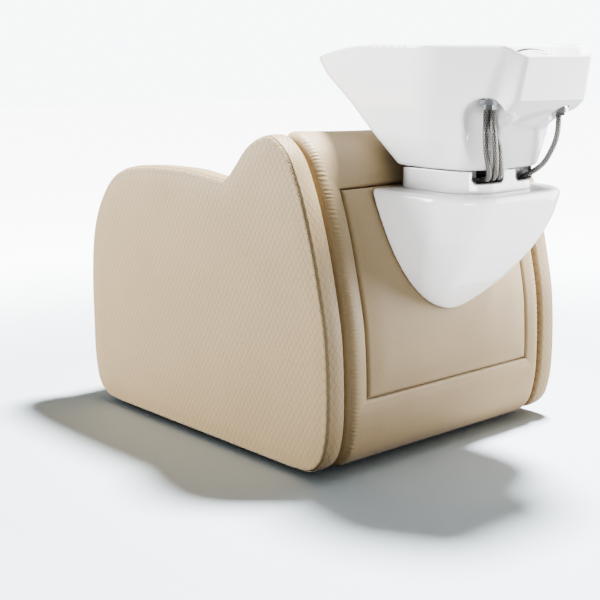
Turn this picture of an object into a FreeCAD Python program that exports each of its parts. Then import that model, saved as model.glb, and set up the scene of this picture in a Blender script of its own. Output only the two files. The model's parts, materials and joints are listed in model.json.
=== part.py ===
import FreeCAD, Part
import math
import os

# Salon backwash unit: an upholstered seat with a tilting ceramic basin behind its backrest.
# Millimetres, +Z up, +X towards the sitter's left, +Y towards the basin. The origin lies on the
# floor, in the middle of the unit's width and depth.

# Overall sizes
unit_width = 780.0
arm_depth = 920.0
basin_overhang = 274.0
rim_height = 931.0
arm_drop = 191.0

# Fits and cuts
cut_overrun = 40.0
seat_clearance = 0.3
pin_clearance = 0.05
slide_clearance = 0.35
joint_gap = 0.4

# Arms
arm_width = 52.0
arm_outer_thickness = 16.0
arm_inner_thickness = 10.0
arm_band_thickness = 14.0
arm_edge_round = 9.0
arm_face_crown = 2.0
arm_bolt_radius = 4.0
arm_bolt_head_radius = 7.5
arm_bolt_head_length = 5.0
arm_bolt_length = 52.0

# Seat and backrest
body_gap = 3.0
seat_height = 450.0
seat_cushion_thickness = 120.0
seat_cushion_corner = 40.0
seat_draw_in = 9.0
seat_board_thickness = 18.0
seat_rail_width = 25.0
seat_rail_height = 40.0
seat_setback = 20.0
seat_front_inset = 8.0
seat_front_reach = 62.0
seat_board_setback = 46.0
seat_front_bottom = 40.0
seat_level_shares = ((0.0, 1.0), (0.25, 0.0), (0.55, 0.0), (0.82, 1.0), (0.96, 6.0), (1.0, 13.0))
seat_front_thickness = 30.0
back_foot_y = 345.0
back_cushion_depth = 133.0
back_cushion_drop = 9.0
back_cushion_draw_in = 12.0
back_crown = 6.0
back_board_thickness = 18.0

# Rear frame of the chair
surround_inset = -2.0
surround_collar_gap = 2.0
saddle_drop = 8.0
saddle_half_width = 300.0
surround_thickness = 40.0
surround_foot = 92.0
surround_foot_height = 300.0
surround_border = 61.0
panel_bottom = 173.0
panel_top_drop = 113.0
panel_corner = 6.0
panel_gap = 3.0
panel_thickness = 30.0
panel_bulge = 4.0
panel_port_half_width = 98.0
panel_port_bottom_drop = 479.0
panel_port_top_drop = 323.0

# Steel frame
rail_width = 30.0
rail_height = 40.0
rail_bottom = 30.0
frame_front_setback = 70.0
frame_rear = 150.0
lug_length = 60.0
lug_width = 50.0
lug_thickness = 5.0
floor_hole_radius = 5.5
upright_half_spacing = 70.0
upright_width = 30.0
upright_depth = 40.0
tie_bottom = 260.0
tie_height = 40.0
beam_height = 40.0
beam_drop = 391.0
beam_rear = 80.0
riser_depth = 70.0
glide_radius = 22.0
glide_pad_height = 9.0
glide_stem_radius = 6.0

# Pedestal shell and collar
shell_top_drop = 310.0
shell_tip_drop = 591.0
shell_half_width = 189.0
shell_rear = 194.0
shell_tip_rear = 2.0
shell_front = 160.0
shell_wall = 6.0
shell_edge_round = 10.0
shell_corner_share = 0.53
shell_width_power = 2.0
shell_round_power = 0.5
shell_depth_power = 1.7
shell_front_corner_share = 0.06
shell_level_shares = (0.004, 0.02, 0.05, 0.1, 0.17, 0.26, 0.37, 0.5, 0.64, 0.79, 0.92)
collar_half_width = 125.0
collar_front = 80.0
collar_rear = 150.0
collar_corner = 60.0
collar_rear_corner = 78.0
collar_wall = 6.0
collar_gap = 2.0
upstand_inset = 20.0
upstand_wall = 4.0
throat_inset = 14.0
upstand_height = 15.0
shelf_drop = 14.0
tilt_relief_angle = 4.8
slot_half_spacing = 60.0
slot_half_length = 40.0
slot_height = 29.0
slot_round = 12.0
slot_depth = 60.0
grommet_thickness = 2.0

# Tilting basin carrier
tilt_y = -30.0
tilt_drop = 259.0
waste_y = 35.0
pin_radius = 8.0
pin_head_radius = 13.0
pin_head_length = 6.0
ear_radius = 17.0
ear_thickness = 6.0
ear_inner_x = 74.0
lug_inner_x = 60.0
carrier_lug_thickness = 8.0
yoke_plate_drop = 291.0
yoke_plate_thickness = 6.0
yoke_half_width = 88.0
yoke_front = 25.0
yoke_rear = 55.0
drain_passage_radius = 45.0
bush_wall = 3.0
carrier_thickness = 6.0
carrier_half_width = 95.0
carrier_half_depth = 80.0
carrier_hole_radius = 42.0
bracket_bolt_radius = 4.0
bracket_bolt_head_radius = 7.0
bracket_bolt_head_length = 5.0
bracket_bolt_grip = 12.0
bracket_bolt_x = 85.0
bracket_bolt_y = 62.0

# Basin
foot_drop = 261.0
foot_half_width = 131.0
foot_corner_half_width = 122.0
foot_front = 88.0
foot_rear = 155.0
foot_wall = 13.0
foot_hollow = 42.0
foot_corner = 48.0
foot_rear_corner = 70.0
basin_half_width = 228.0
basin_widest_y = 95.0
ear_half_width = 162.0
ear_front = 334.0
ear_bulge = 10.0
ear_bulge_shares = (0.0, -0.3, -0.6, 1.0, 0.1)
ear_corner = 62.0
crease_half_width = 138.0
crease_y = 243.0
crease_round = 10.0
flank_round = 120.0
flank_bulge = 13.0
flank_bulge_shares = (1.0, 0.8, 0.4)
basin_level_shares = (0.0, 0.25, 0.5, 0.75, 1.0)
lip_drop = 41.0
lip_slope_start = 60.0
neck_radius = 116.0
neck_drop = 85.0
neck_rear = 190.0
tail_half_width = 107.0
tail_top_drop = 21.0
tail_lean = 36.0
tail_front = 120.0
tail_round = 12.0
tail_crease_inset = 12.0
basin_wall = 14.0
ledge_drop = 83.0
ledge_front = 118.0
bowl_floor_drop = 196.0
bowl_floor_half_width = 105.0
bowl_floor_front = 70.0
bowl_floor_rear = 98.0
bowl_front_half_width = 122.0
bowl_half_width = 170.0
bowl_rear_half_width = 148.0
bowl_widest_y = 55.0
bowl_front = 205.0
bowl_floor_front_share = 0.86
bowl_floor_rear_share = 0.92
bowl_floor_middle_share = 0.55
bowl_corner = 50.0
bowl_flank_round = 60.0
bowl_fullness = 7.0
bowl_level_shares = (0.0, 0.25, 0.6, 1.0)
niche_radius = 45.0
niche_x = 126.0
niche_y = 183.0
niche_drop = 106.0
nut_seat_drop = 111.0

# Waste
waste_radius = 21.0
waste_wall = 4.5
waste_flange_radius = 35.0
waste_flange_height = 4.0
waste_tail_drop = 241.0
gasket_thickness = 4.0
gasket_radius = 31.0
waste_nut_height = 9.0
waste_nut_radius = 33.0
strainer_radius = 24.0
strainer_height = 3.0
strainer_hole_radius = 2.2
strainer_ring_shares = (0.34, 0.62)
strainer_ring_counts = (6, 12)
strainer_knob_radius = 4.0
strainer_knob_height = 9.0

# Mixer
mixer_x = 100.0
mixer_y = 172.0
mixer_flange_radius = 24.0
mixer_flange_height = 4.0
mixer_shank_radius = 15.5
mixer_shank_drop = 131.0
mixer_hole_clearance = 0.5
mixer_body_radius = 20.0
mixer_body_drop = 70.0
mixer_nut_radius = 24.0
mixer_nut_height = 10.0
mixer_cap_height = 20.0
mixer_cap_round = 5.0
lever_pivot_drop = 59.0
lever_radius = 4.0
lever_heading = 175.0
lever_slot_clearance = 0.5
lever_pin_radius = 3.0
lever_hub_radius = 5.5
lever_peak = 114.0
lever_peak_drop = 13.0
lever_length = 172.0
lever_tip_drop = 26.0
lever_tip_radius = 5.5

# Hand shower
handset_x = 70.0
handset_y = 219.0
ferrule_flange_radius = 21.0
ferrule_flange_height = 4.0
ferrule_radius = 17.5
ferrule_bore_radius = 13.5
ferrule_drop = 147.0
ferrule_seat_drop = 131.0
ferrule_nut_radius = 20.0
ferrule_nut_height = 10.0
handle_radius = 12.5
handle_length = 46.0
handset_neck_radius = 14.0
handset_head_radius = 20.0
handset_head_height = 38.0
spray_radius = 17.0
spray_recess = 1.5
spray_height = 4.0
spray_hole_radius = 0.9
spray_ring_shares = (0.35, 0.7)
spray_ring_counts = (6, 12)

# Hoses and plumbing
supply_hose_radius = 6.2
shower_hose_radius = 6.0
drain_hose_radius = 17.0
bend_share = 0.45
coupling_radius = 9.5
inlet_hole_radius = 9.3
inlet_hole_depth = 16.0
inlet_block_width = 46.0
inlet_block_depth = 30.0
inlet_block_height = 40.0
inlet_block_bottom = 46.0
inlet_half_spacing = 11.0
inlet_x = 50.0
spigot_radius = 20.0
spigot_wall = 4.0
spigot_bottom = 20.0
spigot_top = 108.0
spigot_gap = 12.0
spigot_plate_thickness = 8.0
route_rim_height = 931.0
route_fixed_height = 108.0
route_knee_height = 455.0

# Places that follow from the sizes above
unit_depth = arm_depth + basin_overhang
rear_y = arm_depth - unit_depth / 2
front_y = rear_y - arm_depth
arm_height = rim_height - arm_drop
arm_inner_x = unit_width / 2 - arm_width
body_half_width = arm_inner_x - body_gap
panel_half_width = body_half_width - surround_border
panel_top = arm_height - panel_top_drop
panel_port_bottom = rim_height - panel_port_bottom_drop
panel_port_top = rim_height - panel_port_top_drop
back_cushion_top = arm_height - back_cushion_drop
frame_front = arm_depth - frame_front_setback
beam_bottom = rim_height - beam_drop
shell_top = rim_height - shell_top_drop
shell_tip = rim_height - shell_tip_drop
tilt_axis_y = rear_y + tilt_y
tilt_z = rim_height - tilt_drop
waste_axis_y = rear_y + waste_y
yoke_plate_bottom = rim_height - yoke_plate_drop
foot_height = rim_height - foot_drop
ceramic_underside = foot_height + foot_hollow
carrier_bottom = ceramic_underside - carrier_thickness
lip_height = rim_height - lip_drop
neck_height = rim_height - neck_drop
tail_top = rim_height - tail_top_drop
ledge_height = rim_height - ledge_drop
bowl_floor = rim_height - bowl_floor_drop
niche_top = rim_height - niche_drop
nut_seat_height = rim_height - nut_seat_drop
waste_tail_bottom = rim_height - waste_tail_drop
mixer_shank_bottom = rim_height - mixer_shank_drop
mixer_body_top = rim_height - mixer_body_drop
lever_pivot_z = rim_height - lever_pivot_drop
lever_peak_z = rim_height - lever_peak_drop
lever_tip_z = rim_height - lever_tip_drop
ferrule_bottom = rim_height - ferrule_drop
ferrule_seat = rim_height - ferrule_seat_drop

# Arm outline from the bottom of its rear edge, over the hump and the armrest, to the bottom of its
# front edge: share of the arm's depth in front of the rear edge, and share of its height.
arm_outline_shares = (
    (0.130, 0.0190),
    (0.060, 0.0300),
    (0.024, 0.0680),
    (0.006, 0.1350),
    (0.000, 0.2400),
    (0.009, 0.4390),
    (0.031, 0.5740),
    (0.063, 0.7230),
    (0.105, 0.8650),
    (0.148, 0.9560),
    (0.204, 1.0000),
    (0.253, 0.9890),
    (0.300, 0.9550),
    (0.345, 0.8960),
    (0.378, 0.8600),
    (0.416, 0.8600),
    (0.520, 0.8720),
    (0.697, 0.8680),
    (0.811, 0.8500),
    (0.882, 0.8090),
    (0.930, 0.7460),
    (0.965, 0.6720),
    (0.986, 0.5900),
    (0.999, 0.4600),
    (1.000, 0.3000),
    (0.996, 0.1500),
    (0.978, 0.0680),
    (0.940, 0.0290),
    (0.870, 0.0190),
)

# Front and top of the back cushion: share of its depth in front of its rear face, share of its height
back_front_shares = ((0.88, 0.0), (0.98, 0.38), (0.95, 0.64), (0.62, 0.85), (0.32, 0.955), (0.0, 1.0))

# The tail's sections: drop below the rim, half width, and setback from the tail's end
tail_sections = ((175.0, 100.0, 93.0), (131.0, 119.0, 38.0), (115.0, 119.0, 22.0), (0.0, 107.0, 0.0))

# Routes of the hoses, point by point: X, distance behind the arms' rear edge, and Z
hot_route = (
    (106.6, 168.2, 800.0), (106.6, 168.2, 772.0), (109.0, 170.0, 738.0), (103.0, 170.0, 702.0),
    (92.0, 168.0, 678.0), (73.0, 154.0, 654.0), (66.0, 124.0, 646.0), (62.0, 112.0, 620.0),
    (48.0, 104.0, 585.0), (42.0, 86.0, 555.0), (41.0, 48.0, 528.0), (41.0, -10.0, 508.0),
    (41.0, -66.0, 490.0), (43.0, -108.0, 455.0), (48.0, -128.0, 400.0), (55.0, -134.0, 330.0),
    (60.0, -136.0, 250.0), (61.0, -135.0, 170.0), (61.0, -135.0, 86.0),
)
cold_route = (
    (100.0, 179.6, 800.0), (100.0, 179.6, 778.0), (104.0, 189.0, 748.0), (92.0, 185.0, 702.0),
    (76.0, 173.0, 678.0), (54.0, 154.0, 654.0), (48.0, 124.0, 645.0), (48.5, 106.0, 622.0),
    (34.0, 98.0, 590.0), (28.0, 74.0, 562.0), (27.0, 30.0, 540.0), (26.0, -20.0, 520.0),
    (26.0, -76.0, 500.0), (27.0, -112.0, 462.0), (31.0, -128.0, 400.0), (36.0, -134.0, 330.0),
    (39.0, -136.0, 250.0), (39.0, -135.0, 170.0), (39.0, -135.0, 86.0),
)
outlet_route = (
    (93.4, 168.2, 800.0), (93.4, 168.2, 768.0), (89.5, 180.0, 744.0), (83.0, 187.0, 724.0),
    (76.0, 183.0, 702.0), (58.0, 172.0, 678.0), (36.0, 154.0, 654.0), (32.0, 124.0, 645.0),
    (44.0, 120.0, 612.0), (47.0, 119.0, 575.0), (43.0, 119.0, 548.0), (32.0, 119.0, 527.0),
    (12.0, 119.0, 527.0),
)
shower_route = (
    (-12.0, 119.0, 527.0), (-32.0, 119.0, 527.0), (-45.0, 119.0, 545.0), (-52.0, 119.0, 575.0),
    (-58.0, 120.0, 612.0), (-70.0, 126.0, 645.0), (-82.0, 148.0, 657.5), (-86.0, 174.0, 678.0),
    (-86.0, 190.0, 704.0), (-83.0, 204.0, 728.0), (-75.0, 214.0, 748.0), (-70.0, 219.0, 764.0),
    (-70.0, 219.0, 784.0),
)
drain_route = (
    (0.0, 35.0, 690.0), (0.0, 35.0, 630.0), (0.0, 22.0, 562.0), (0.0, -26.0, 514.0),
    (0.0, -82.0, 490.0), (0.0, -124.0, 440.0), (0.0, -133.0, 370.0), (0.0, -126.0, 280.0),
    (0.0, -118.0, 200.0), (0.0, -118.0, 108.0),
)


def point(x, y, z):
    """A point from its three coordinates."""
    return FreeCAD.Vector(x, y, z)


def box(x_range, y_range, z_range):
    """A block between two limits on each axis."""
    size = (x_range[1] - x_range[0], y_range[1] - y_range[0], z_range[1] - z_range[0])
    return Part.makeBox(*size, point(x_range[0], y_range[0], z_range[0]))


def post(radius, x, y, z_range):
    """An upright cylinder between two heights."""
    return Part.makeCylinder(radius, z_range[1] - z_range[0], point(x, y, z_range[0]))


def pipe(outer, inner, x, y, z_range):
    """An upright tube between two heights."""
    return post(outer, x, y, z_range).cut(post(inner, x, y, z_range))


def rod_x(radius, x_range, y, z):
    """A cylinder along X between two limits."""
    return Part.makeCylinder(radius, x_range[1] - x_range[0], point(x_range[0], y, z), point(1, 0, 0))


def rounded_polygon(corners, radii, z):
    """A closed wire at one height through the corners, each rounded with its own radius."""
    count = len(corners)
    places = [point(x, y, z) for x, y in corners]
    starts = []
    ends = []
    middles = []
    for index in range(count):
        here = places[index]
        before = places[index - 1].sub(here).normalize()
        after = places[(index + 1) % count].sub(here).normalize()
        half = before.getAngle(after) / 2
        reach = radii[index] / math.tan(half)
        inward = before.add(after).normalize()
        starts.append(here.add(FreeCAD.Vector(before).multiply(reach)))
        ends.append(here.add(FreeCAD.Vector(after).multiply(reach)))
        depth = radii[index] / math.sin(half) - radii[index]
        middles.append(here.add(inward.multiply(depth)))
    edges = []
    for index in range(count):
        edges.append(Part.Arc(starts[index], middles[index], ends[index]).toShape())
        edges.append(Part.LineSegment(ends[index], starts[(index + 1) % count]).toShape())
    return Part.Wire(edges)


def mirrored(corners, radii):
    """Corners of the +X half, from the front to the rear, completed to the whole outline."""
    other = [(-x, y) for x, y in reversed(corners)]
    return list(corners) + other, list(radii) + list(reversed(radii))


def half_outline(corners, radii, z):
    """A rounded outline at one height, from the corners of its +X half."""
    all_corners, all_radii = mirrored(corners, radii)
    return rounded_polygon(all_corners, all_radii, z)


def loft(wires, ruled=True):
    """A solid through closed wires."""
    return Part.makeLoft(wires, True, ruled)


def rectangle(half_width, y_range, corner, z):
    """A rounded rectangle at one height, centred across the unit."""
    return half_outline([(half_width, y_range[0]), (half_width, y_range[1])], [corner, corner], z)


def prism(wire, height):
    """A flat outline raised to a height."""
    return Part.Face(wire).extrude(point(0, 0, height))


def mirror_x(shape):
    """The same shape on the other side of the unit."""
    return shape.mirror(point(0, 0, 0), point(1, 0, 0))


def save(node, *solids):
    """Write the solids of one node."""
    shape = solids[0] if len(solids) == 1 else Part.makeCompound(list(solids))
    found = shape.Solids
    if not shape.isValid() or not found:
        print("check", node, "valid", shape.isValid(), "solids", len(found))
    shape.exportStep("parts/" + node + ".step")


def arm_outline(x, inset):
    """The arm's side outline at one place across the unit, drawn in evenly towards its middle."""
    depth_scale = 1 - 2 * inset / arm_depth
    height_scale = 1 - 2 * inset / arm_height
    middle_y = rear_y - arm_depth / 2
    middle_z = arm_height / 2
    places = []
    for depth_share, height_share in arm_outline_shares:
        y = middle_y + (rear_y - arm_depth * depth_share - middle_y) * depth_scale
        z = middle_z + (arm_height * height_share - middle_z) * height_scale
        places.append(point(x, y, z))
    curve = Part.BSplineCurve()
    curve.interpolate(places)
    return Part.Wire([curve.toShape(), Part.LineSegment(places[-1], places[0]).toShape()])


def arm_slab(x_range, inset):
    """A slab with the arm's outline between two places across the unit."""
    return Part.Face(arm_outline(x_range[0], inset)).extrude(point(x_range[1] - x_range[0], 0, 0))


def arm_bolt_places():
    """Where the bolts between the frame rails and the arms go, front and rear."""
    front = rear_y - frame_front + lug_length
    rear = rear_y - frame_rear - upright_depth - 2 * lug_length
    return [front, rear]


def arms():
    """Both arms: core, padded outer face, edge band and inner face, with their bolts."""
    inner_end = arm_inner_x + arm_inner_thickness
    face_start = unit_width / 2 - arm_outer_thickness
    face_end = unit_width / 2
    outer = loft([
        arm_outline(face_start, 0),
        arm_outline(face_end - arm_edge_round, 0),
        arm_outline(face_end - arm_edge_round / 3, arm_edge_round / 3),
        arm_outline(face_end - arm_face_crown / 2, arm_edge_round),
        arm_outline(face_end, 2 * arm_edge_round),
    ])
    band = arm_slab((inner_end, face_start), 0).cut(
        arm_slab((inner_end - cut_overrun, face_start + cut_overrun), arm_band_thickness))
    core = arm_slab((inner_end, face_start), arm_band_thickness)
    inner = loft([
        arm_outline(arm_inner_x, arm_edge_round),
        arm_outline(arm_inner_x + arm_edge_round / 3, arm_edge_round / 3),
        arm_outline(inner_end, 0),
    ])
    bolt_z = rail_bottom + rail_height / 2
    rail_inner_x = arm_inner_x - rail_width
    bolts = []
    for y in arm_bolt_places():
        shank = rod_x(arm_bolt_radius, (rail_inner_x, rail_inner_x + arm_bolt_length), y, bolt_z)
        head = rod_x(arm_bolt_head_radius, (rail_inner_x - arm_bolt_head_length, rail_inner_x), y, bolt_z)
        core = core.cut(shank)
        band = band.cut(shank)
        inner = inner.cut(shank)
        bolts.append(shank.fuse(head).removeSplitter())
    pieces = {"arm_outer_panel": outer, "arm_edge_band": band, "arm_core": core, "arm_inner_panel": inner}
    for name, shape in pieces.items():
        save(name + "_left", shape)
        save(name + "_right", mirror_x(shape))
    save("arm_bolts", *(bolts + [mirror_x(bolt) for bolt in bolts]))


def seat():
    """The seat: crowned cushion, board, rails and padded front panel."""
    cushion_bottom = seat_height - seat_cushion_thickness
    board_bottom = cushion_bottom - seat_board_thickness
    rear = rear_y - back_foot_y
    front = front_y + seat_setback
    wires = []
    for height_share, inset_share in seat_level_shares:
        inset = seat_draw_in * inset_share
        z = cushion_bottom + seat_cushion_thickness * height_share
        y_range = (front + inset, rear - inset)
        wires.append(rectangle(body_half_width - inset, y_range, seat_cushion_corner, z))
    save("seat_cushion", loft(wires))
    board_front = front_y + seat_board_setback
    board = box((-arm_inner_x, arm_inner_x), (board_front, rear), (board_bottom, cushion_bottom))
    save("seat_board", board)
    rail = box(
        (arm_inner_x - seat_rail_width, arm_inner_x),
        (board_front + seat_rail_width, rear),
        (board_bottom - seat_rail_height, board_bottom))
    save("seat_rails", rail, mirror_x(rail))
    span = (-body_half_width, body_half_width)
    wide = (span[0] - cut_overrun, span[1] + cut_overrun)
    apron = arm_slab(span, seat_front_inset).cut(arm_slab(wide, seat_front_inset + seat_front_thickness))
    limits = box(span, (front_y, front_y + seat_front_reach), (seat_front_bottom, cushion_bottom))
    save("seat_front_panel", apron.common(limits))


def back_outline(x, inset):
    """The back cushion's side outline at one place across the unit."""
    height = back_cushion_top - seat_height
    rear = rear_y - back_foot_y + back_cushion_depth
    depth = back_cushion_depth - inset
    places = []
    for depth_share, height_share in back_front_shares:
        z = seat_height + inset + (height - 2 * inset) * height_share
        places.append(point(x, rear - depth * depth_share, z))
    curve = Part.BSplineCurve()
    curve.interpolate(places)
    corner = point(x, places[-1].y, places[0].z)
    return Part.Wire([
        curve.toShape(),
        Part.LineSegment(places[-1], corner).toShape(),
        Part.LineSegment(corner, places[0]).toShape(),
    ])


def backrest():
    """The backrest: crowned front cushion, board, rear surround with its roll, and access panel."""
    edge = body_half_width
    places = (
        (-edge, back_cushion_draw_in),
        (-edge + back_cushion_draw_in, back_crown),
        (-edge / 2, back_crown / 3),
        (edge / 2, back_crown / 3),
        (edge - back_cushion_draw_in, back_crown),
        (edge, back_cushion_draw_in),
    )
    save("back_cushion", loft([back_outline(x, inset) for x, inset in places]))
    board_front = rear_y - back_foot_y + back_cushion_depth
    board = box(
        (-arm_inner_x, arm_inner_x),
        (board_front, board_front + back_board_thickness),
        (rail_bottom + rail_height, arm_height))
    board_span = (-arm_inner_x, arm_inner_x)
    reach = arm_slab(board_span, surround_inset + surround_thickness + seat_clearance)
    save("back_board", board.common(reach))

    span = (-body_half_width, body_half_width)
    wide = (span[0] - cut_overrun, span[1] + cut_overrun)
    shell = arm_slab(span, surround_inset).cut(arm_slab(wide, surround_inset + surround_thickness))
    front_part = box(wide, (front_y - cut_overrun, board_front), (-cut_overrun, arm_height + cut_overrun))
    floor_part = box(
        wide, (front_y - cut_overrun, rear_y - surround_foot), (-cut_overrun, surround_foot_height))
    shell = shell.cut(front_part).cut(floor_part)
    collar_height = foot_height + upstand_height - shell_top
    collar_room = prism(collar_outline(-surround_collar_gap, shell_top), collar_height)
    shell = shell.cut(saddle()).cut(collar_room)
    window = panel_window(0)
    save("back_surround", shell.cut(window))
    pad = arm_slab(wide, surround_inset - panel_bulge).cut(
        arm_slab((wide[0] - cut_overrun, wide[1] + cut_overrun), surround_inset + panel_thickness))
    pad = pad.common(panel_window(panel_gap))
    port = box(
        (-panel_port_half_width, panel_port_half_width),
        (rear_y - shell_front - cut_overrun, rear_y + cut_overrun),
        (panel_port_bottom, panel_port_top))
    save("rear_panel", pad.cut(port))


def saddle():
    """The wide round block that dips the middle of the surround's top roll."""
    radius = (saddle_half_width ** 2 + saddle_drop ** 2) / (2 * saddle_drop)
    lowest = arm_height - surround_inset - saddle_drop
    return Part.makeCylinder(radius, arm_depth, point(0, rear_y, lowest + radius), point(0, -1, 0))


def panel_window(gap):
    """The rounded block, through the rear of the chair, that the access panel fills."""
    corners = [
        (panel_half_width - gap, panel_bottom + gap),
        (panel_half_width - gap, panel_top - gap),
    ]
    outline = half_outline(corners, [panel_corner, panel_corner], 0)
    block = prism(outline, shell_front + cut_overrun)
    block.rotate(point(0, 0, 0), point(1, 0, 0), 90)
    block.translate(point(0, rear_y + cut_overrun, 0))
    return block


def frames():
    """The base frame with its floor lugs, the support frame under the basin, and the glides."""
    rail_z = (rail_bottom, rail_bottom + rail_height)
    front = rear_y - frame_front
    rear = rear_y - frame_rear
    outer_x = arm_inner_x
    inner_x = arm_inner_x - rail_width
    side = box((inner_x, outer_x), (front, rear), rail_z)
    cross_front = box((-inner_x, inner_x), (front, front + rail_width), rail_z)
    cross_rear = box((-inner_x, inner_x), (rear - upright_depth, rear), rail_z)
    base = side.fuse([mirror_x(side), cross_front, cross_rear])
    for y in (front + rail_width + lug_length, rear - upright_depth - lug_length):
        foot = box((inner_x - lug_width, inner_x), (y, y + lug_length), (0, lug_thickness))
        web = box((inner_x - lug_thickness, inner_x), (y, y + lug_length), (0, rail_z[1]))
        hole_place = (inner_x - lug_width / 2, y + lug_length / 2)
        hole = post(floor_hole_radius, *hole_place, (-cut_overrun, cut_overrun))
        lug = foot.fuse(web).cut(hole)
        base = base.fuse([lug, mirror_x(lug)])
    bolt_z = rail_bottom + rail_height / 2
    for y in arm_bolt_places():
        base = base.cut(rod_x(arm_bolt_radius, (-outer_x - cut_overrun, outer_x + cut_overrun), y, bolt_z))
    glides = []
    for x in (-1, 1):
        for y in (front + rail_width / 2, rear - upright_depth / 2):
            centre_x = x * (inner_x + rail_width / 2)
            pad = post(glide_radius, centre_x, y, (0, glide_pad_height))
            stem = post(glide_stem_radius, centre_x, y, (glide_pad_height, rail_bottom))
            glides.append(pad.fuse(stem).removeSplitter())
    save("base_frame", base.removeSplitter())
    save("floor_glides", *glides)

    post_x = (upright_half_spacing - upright_width / 2, upright_half_spacing + upright_width / 2)
    beam_top = beam_bottom + beam_height
    upright = box(post_x, (rear - upright_depth, rear), (rail_z[1], beam_top))
    beam = box(post_x, (rear, rear_y + beam_rear), (beam_bottom, beam_top))
    riser_y = (rear_y + beam_rear - riser_depth, rear_y + beam_rear)
    riser = box(post_x, riser_y, (beam_top, yoke_plate_bottom))
    side_frame = upright.fuse([beam, riser])
    tie_y = (rear - upright_depth, rear)
    tie = box((-post_x[0], post_x[0]), tie_y, (tie_bottom, tie_bottom + tie_height))
    save("support_frame", side_frame.fuse([mirror_x(side_frame), tie]).removeSplitter())


def shell_section(share, inset, z):
    """The pedestal shell's outline at one height: straight front, round rear corners."""
    left = 1 - share
    half_width = shell_half_width * (1 - left ** shell_width_power) ** shell_round_power
    half_width = half_width * (1 - inset / shell_half_width)
    panel_y = rear_y - shell_front
    reach = (shell_rear - shell_tip_rear) * (1 - left ** shell_depth_power)
    rear = rear_y + shell_tip_rear + reach - inset
    corner = half_width * shell_corner_share
    corners = [(half_width, panel_y), (half_width, rear)]
    return half_outline(corners, [half_width * shell_front_corner_share, corner], z)


def shell_solid(inset, top):
    """The pedestal shell's bulging form, drawn in by an inset, up to a height."""
    height = shell_top - shell_tip
    wires = []
    for share in shell_level_shares:
        wires.append(shell_section(share, inset, shell_tip + height * share + inset))
    if inset:
        wires.append(shell_section(1, inset, top))
    else:
        wires.append(shell_section(1, inset, top - shell_edge_round))
        wires.append(shell_section(1, shell_edge_round / 3, top - shell_edge_round / 3))
        wires.append(shell_section(1, shell_edge_round, top))
    return loft(wires)


def collar_outline(inset, z):
    """The collar's outline at one height, drawn in by an inset."""
    half_width = collar_half_width - inset
    corners = [
        (half_width, rear_y - collar_front + inset),
        (half_width, rear_y + collar_rear - inset),
    ]
    return half_outline(corners, [collar_corner - inset, collar_rear_corner - inset], z)


def collar_ring(outer_inset, wall, z_range):
    """A ring that follows the collar's outline between two heights."""
    rings = []
    for inset in (outer_inset, outer_inset + wall):
        rings.append(prism(collar_outline(inset, z_range[0]), z_range[1] - z_range[0]))
    return rings[0].cut(rings[1])


def slot_block(inset):
    """The block that cuts one hose slot through the collar's rear, drawn in by an inset."""
    bottom = foot_height - slot_height + inset
    half_length = slot_half_length - inset
    block = box(
        (slot_half_spacing - half_length, slot_half_spacing + half_length),
        (rear_y + collar_rear - slot_depth, rear_y + collar_rear + cut_overrun),
        (bottom, foot_height + cut_overrun))
    edges = []
    for edge in block.Edges:
        runs_back = edge.BoundBox.YLength > slot_depth
        if runs_back and edge.CenterOfMass.z < foot_height:
            edges.append(edge)
    return block.makeFillet(slot_round - inset, edges)


def tilt_relief(top):
    """What comes off the collar's top so that the basin's foot clears it when the basin tilts."""
    reach = collar_front + collar_rear
    drop = reach * math.tan(math.radians(tilt_relief_angle))
    ridge = point(-collar_half_width, tilt_axis_y, top)
    front = point(-collar_half_width, tilt_axis_y - reach, top - drop)
    over = point(-collar_half_width, tilt_axis_y, top + reach)
    wedge = Part.Face(Part.makePolygon([ridge, over, front, ridge]))
    return wedge.extrude(point(2 * collar_half_width, 0, 0))


def pedestal():
    """The moulded shell, the collar on top of it and the edging of the collar's hose slots."""
    body = shell_solid(0, shell_top)
    hollow = shell_solid(shell_wall, shell_top - shell_wall)
    chair_inset = surround_inset - panel_bulge - seat_clearance
    span = (-body_half_width, body_half_width)
    chair = arm_slab(span, chair_inset)
    throat = prism(collar_outline(throat_inset, shell_top - cut_overrun), 2 * cut_overrun)
    save("pedestal_shell", body.cut(hollow).cut(throat).cut(chair))

    top = foot_height - collar_gap
    wall = collar_ring(0, collar_wall, (shell_top, top)).cut(tilt_relief(top))
    shelf_z = (top - shelf_drop - collar_wall, top - shelf_drop)
    shelf = collar_ring(collar_wall, upstand_inset + upstand_wall - collar_wall, shelf_z)
    upstand = collar_ring(upstand_inset, upstand_wall, (shelf_z[1], top + upstand_height))
    ring = wall.fuse([shelf, upstand]).removeSplitter()
    slot = slot_block(0)
    collar = ring.cut(slot).cut(mirror_x(slot))
    save("collar", collar)
    edging = wall.common(slot).cut(slot_block(grommet_thickness))
    save("slot_grommet_left", edging)
    save("slot_grommet_right", mirror_x(edging))


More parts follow.
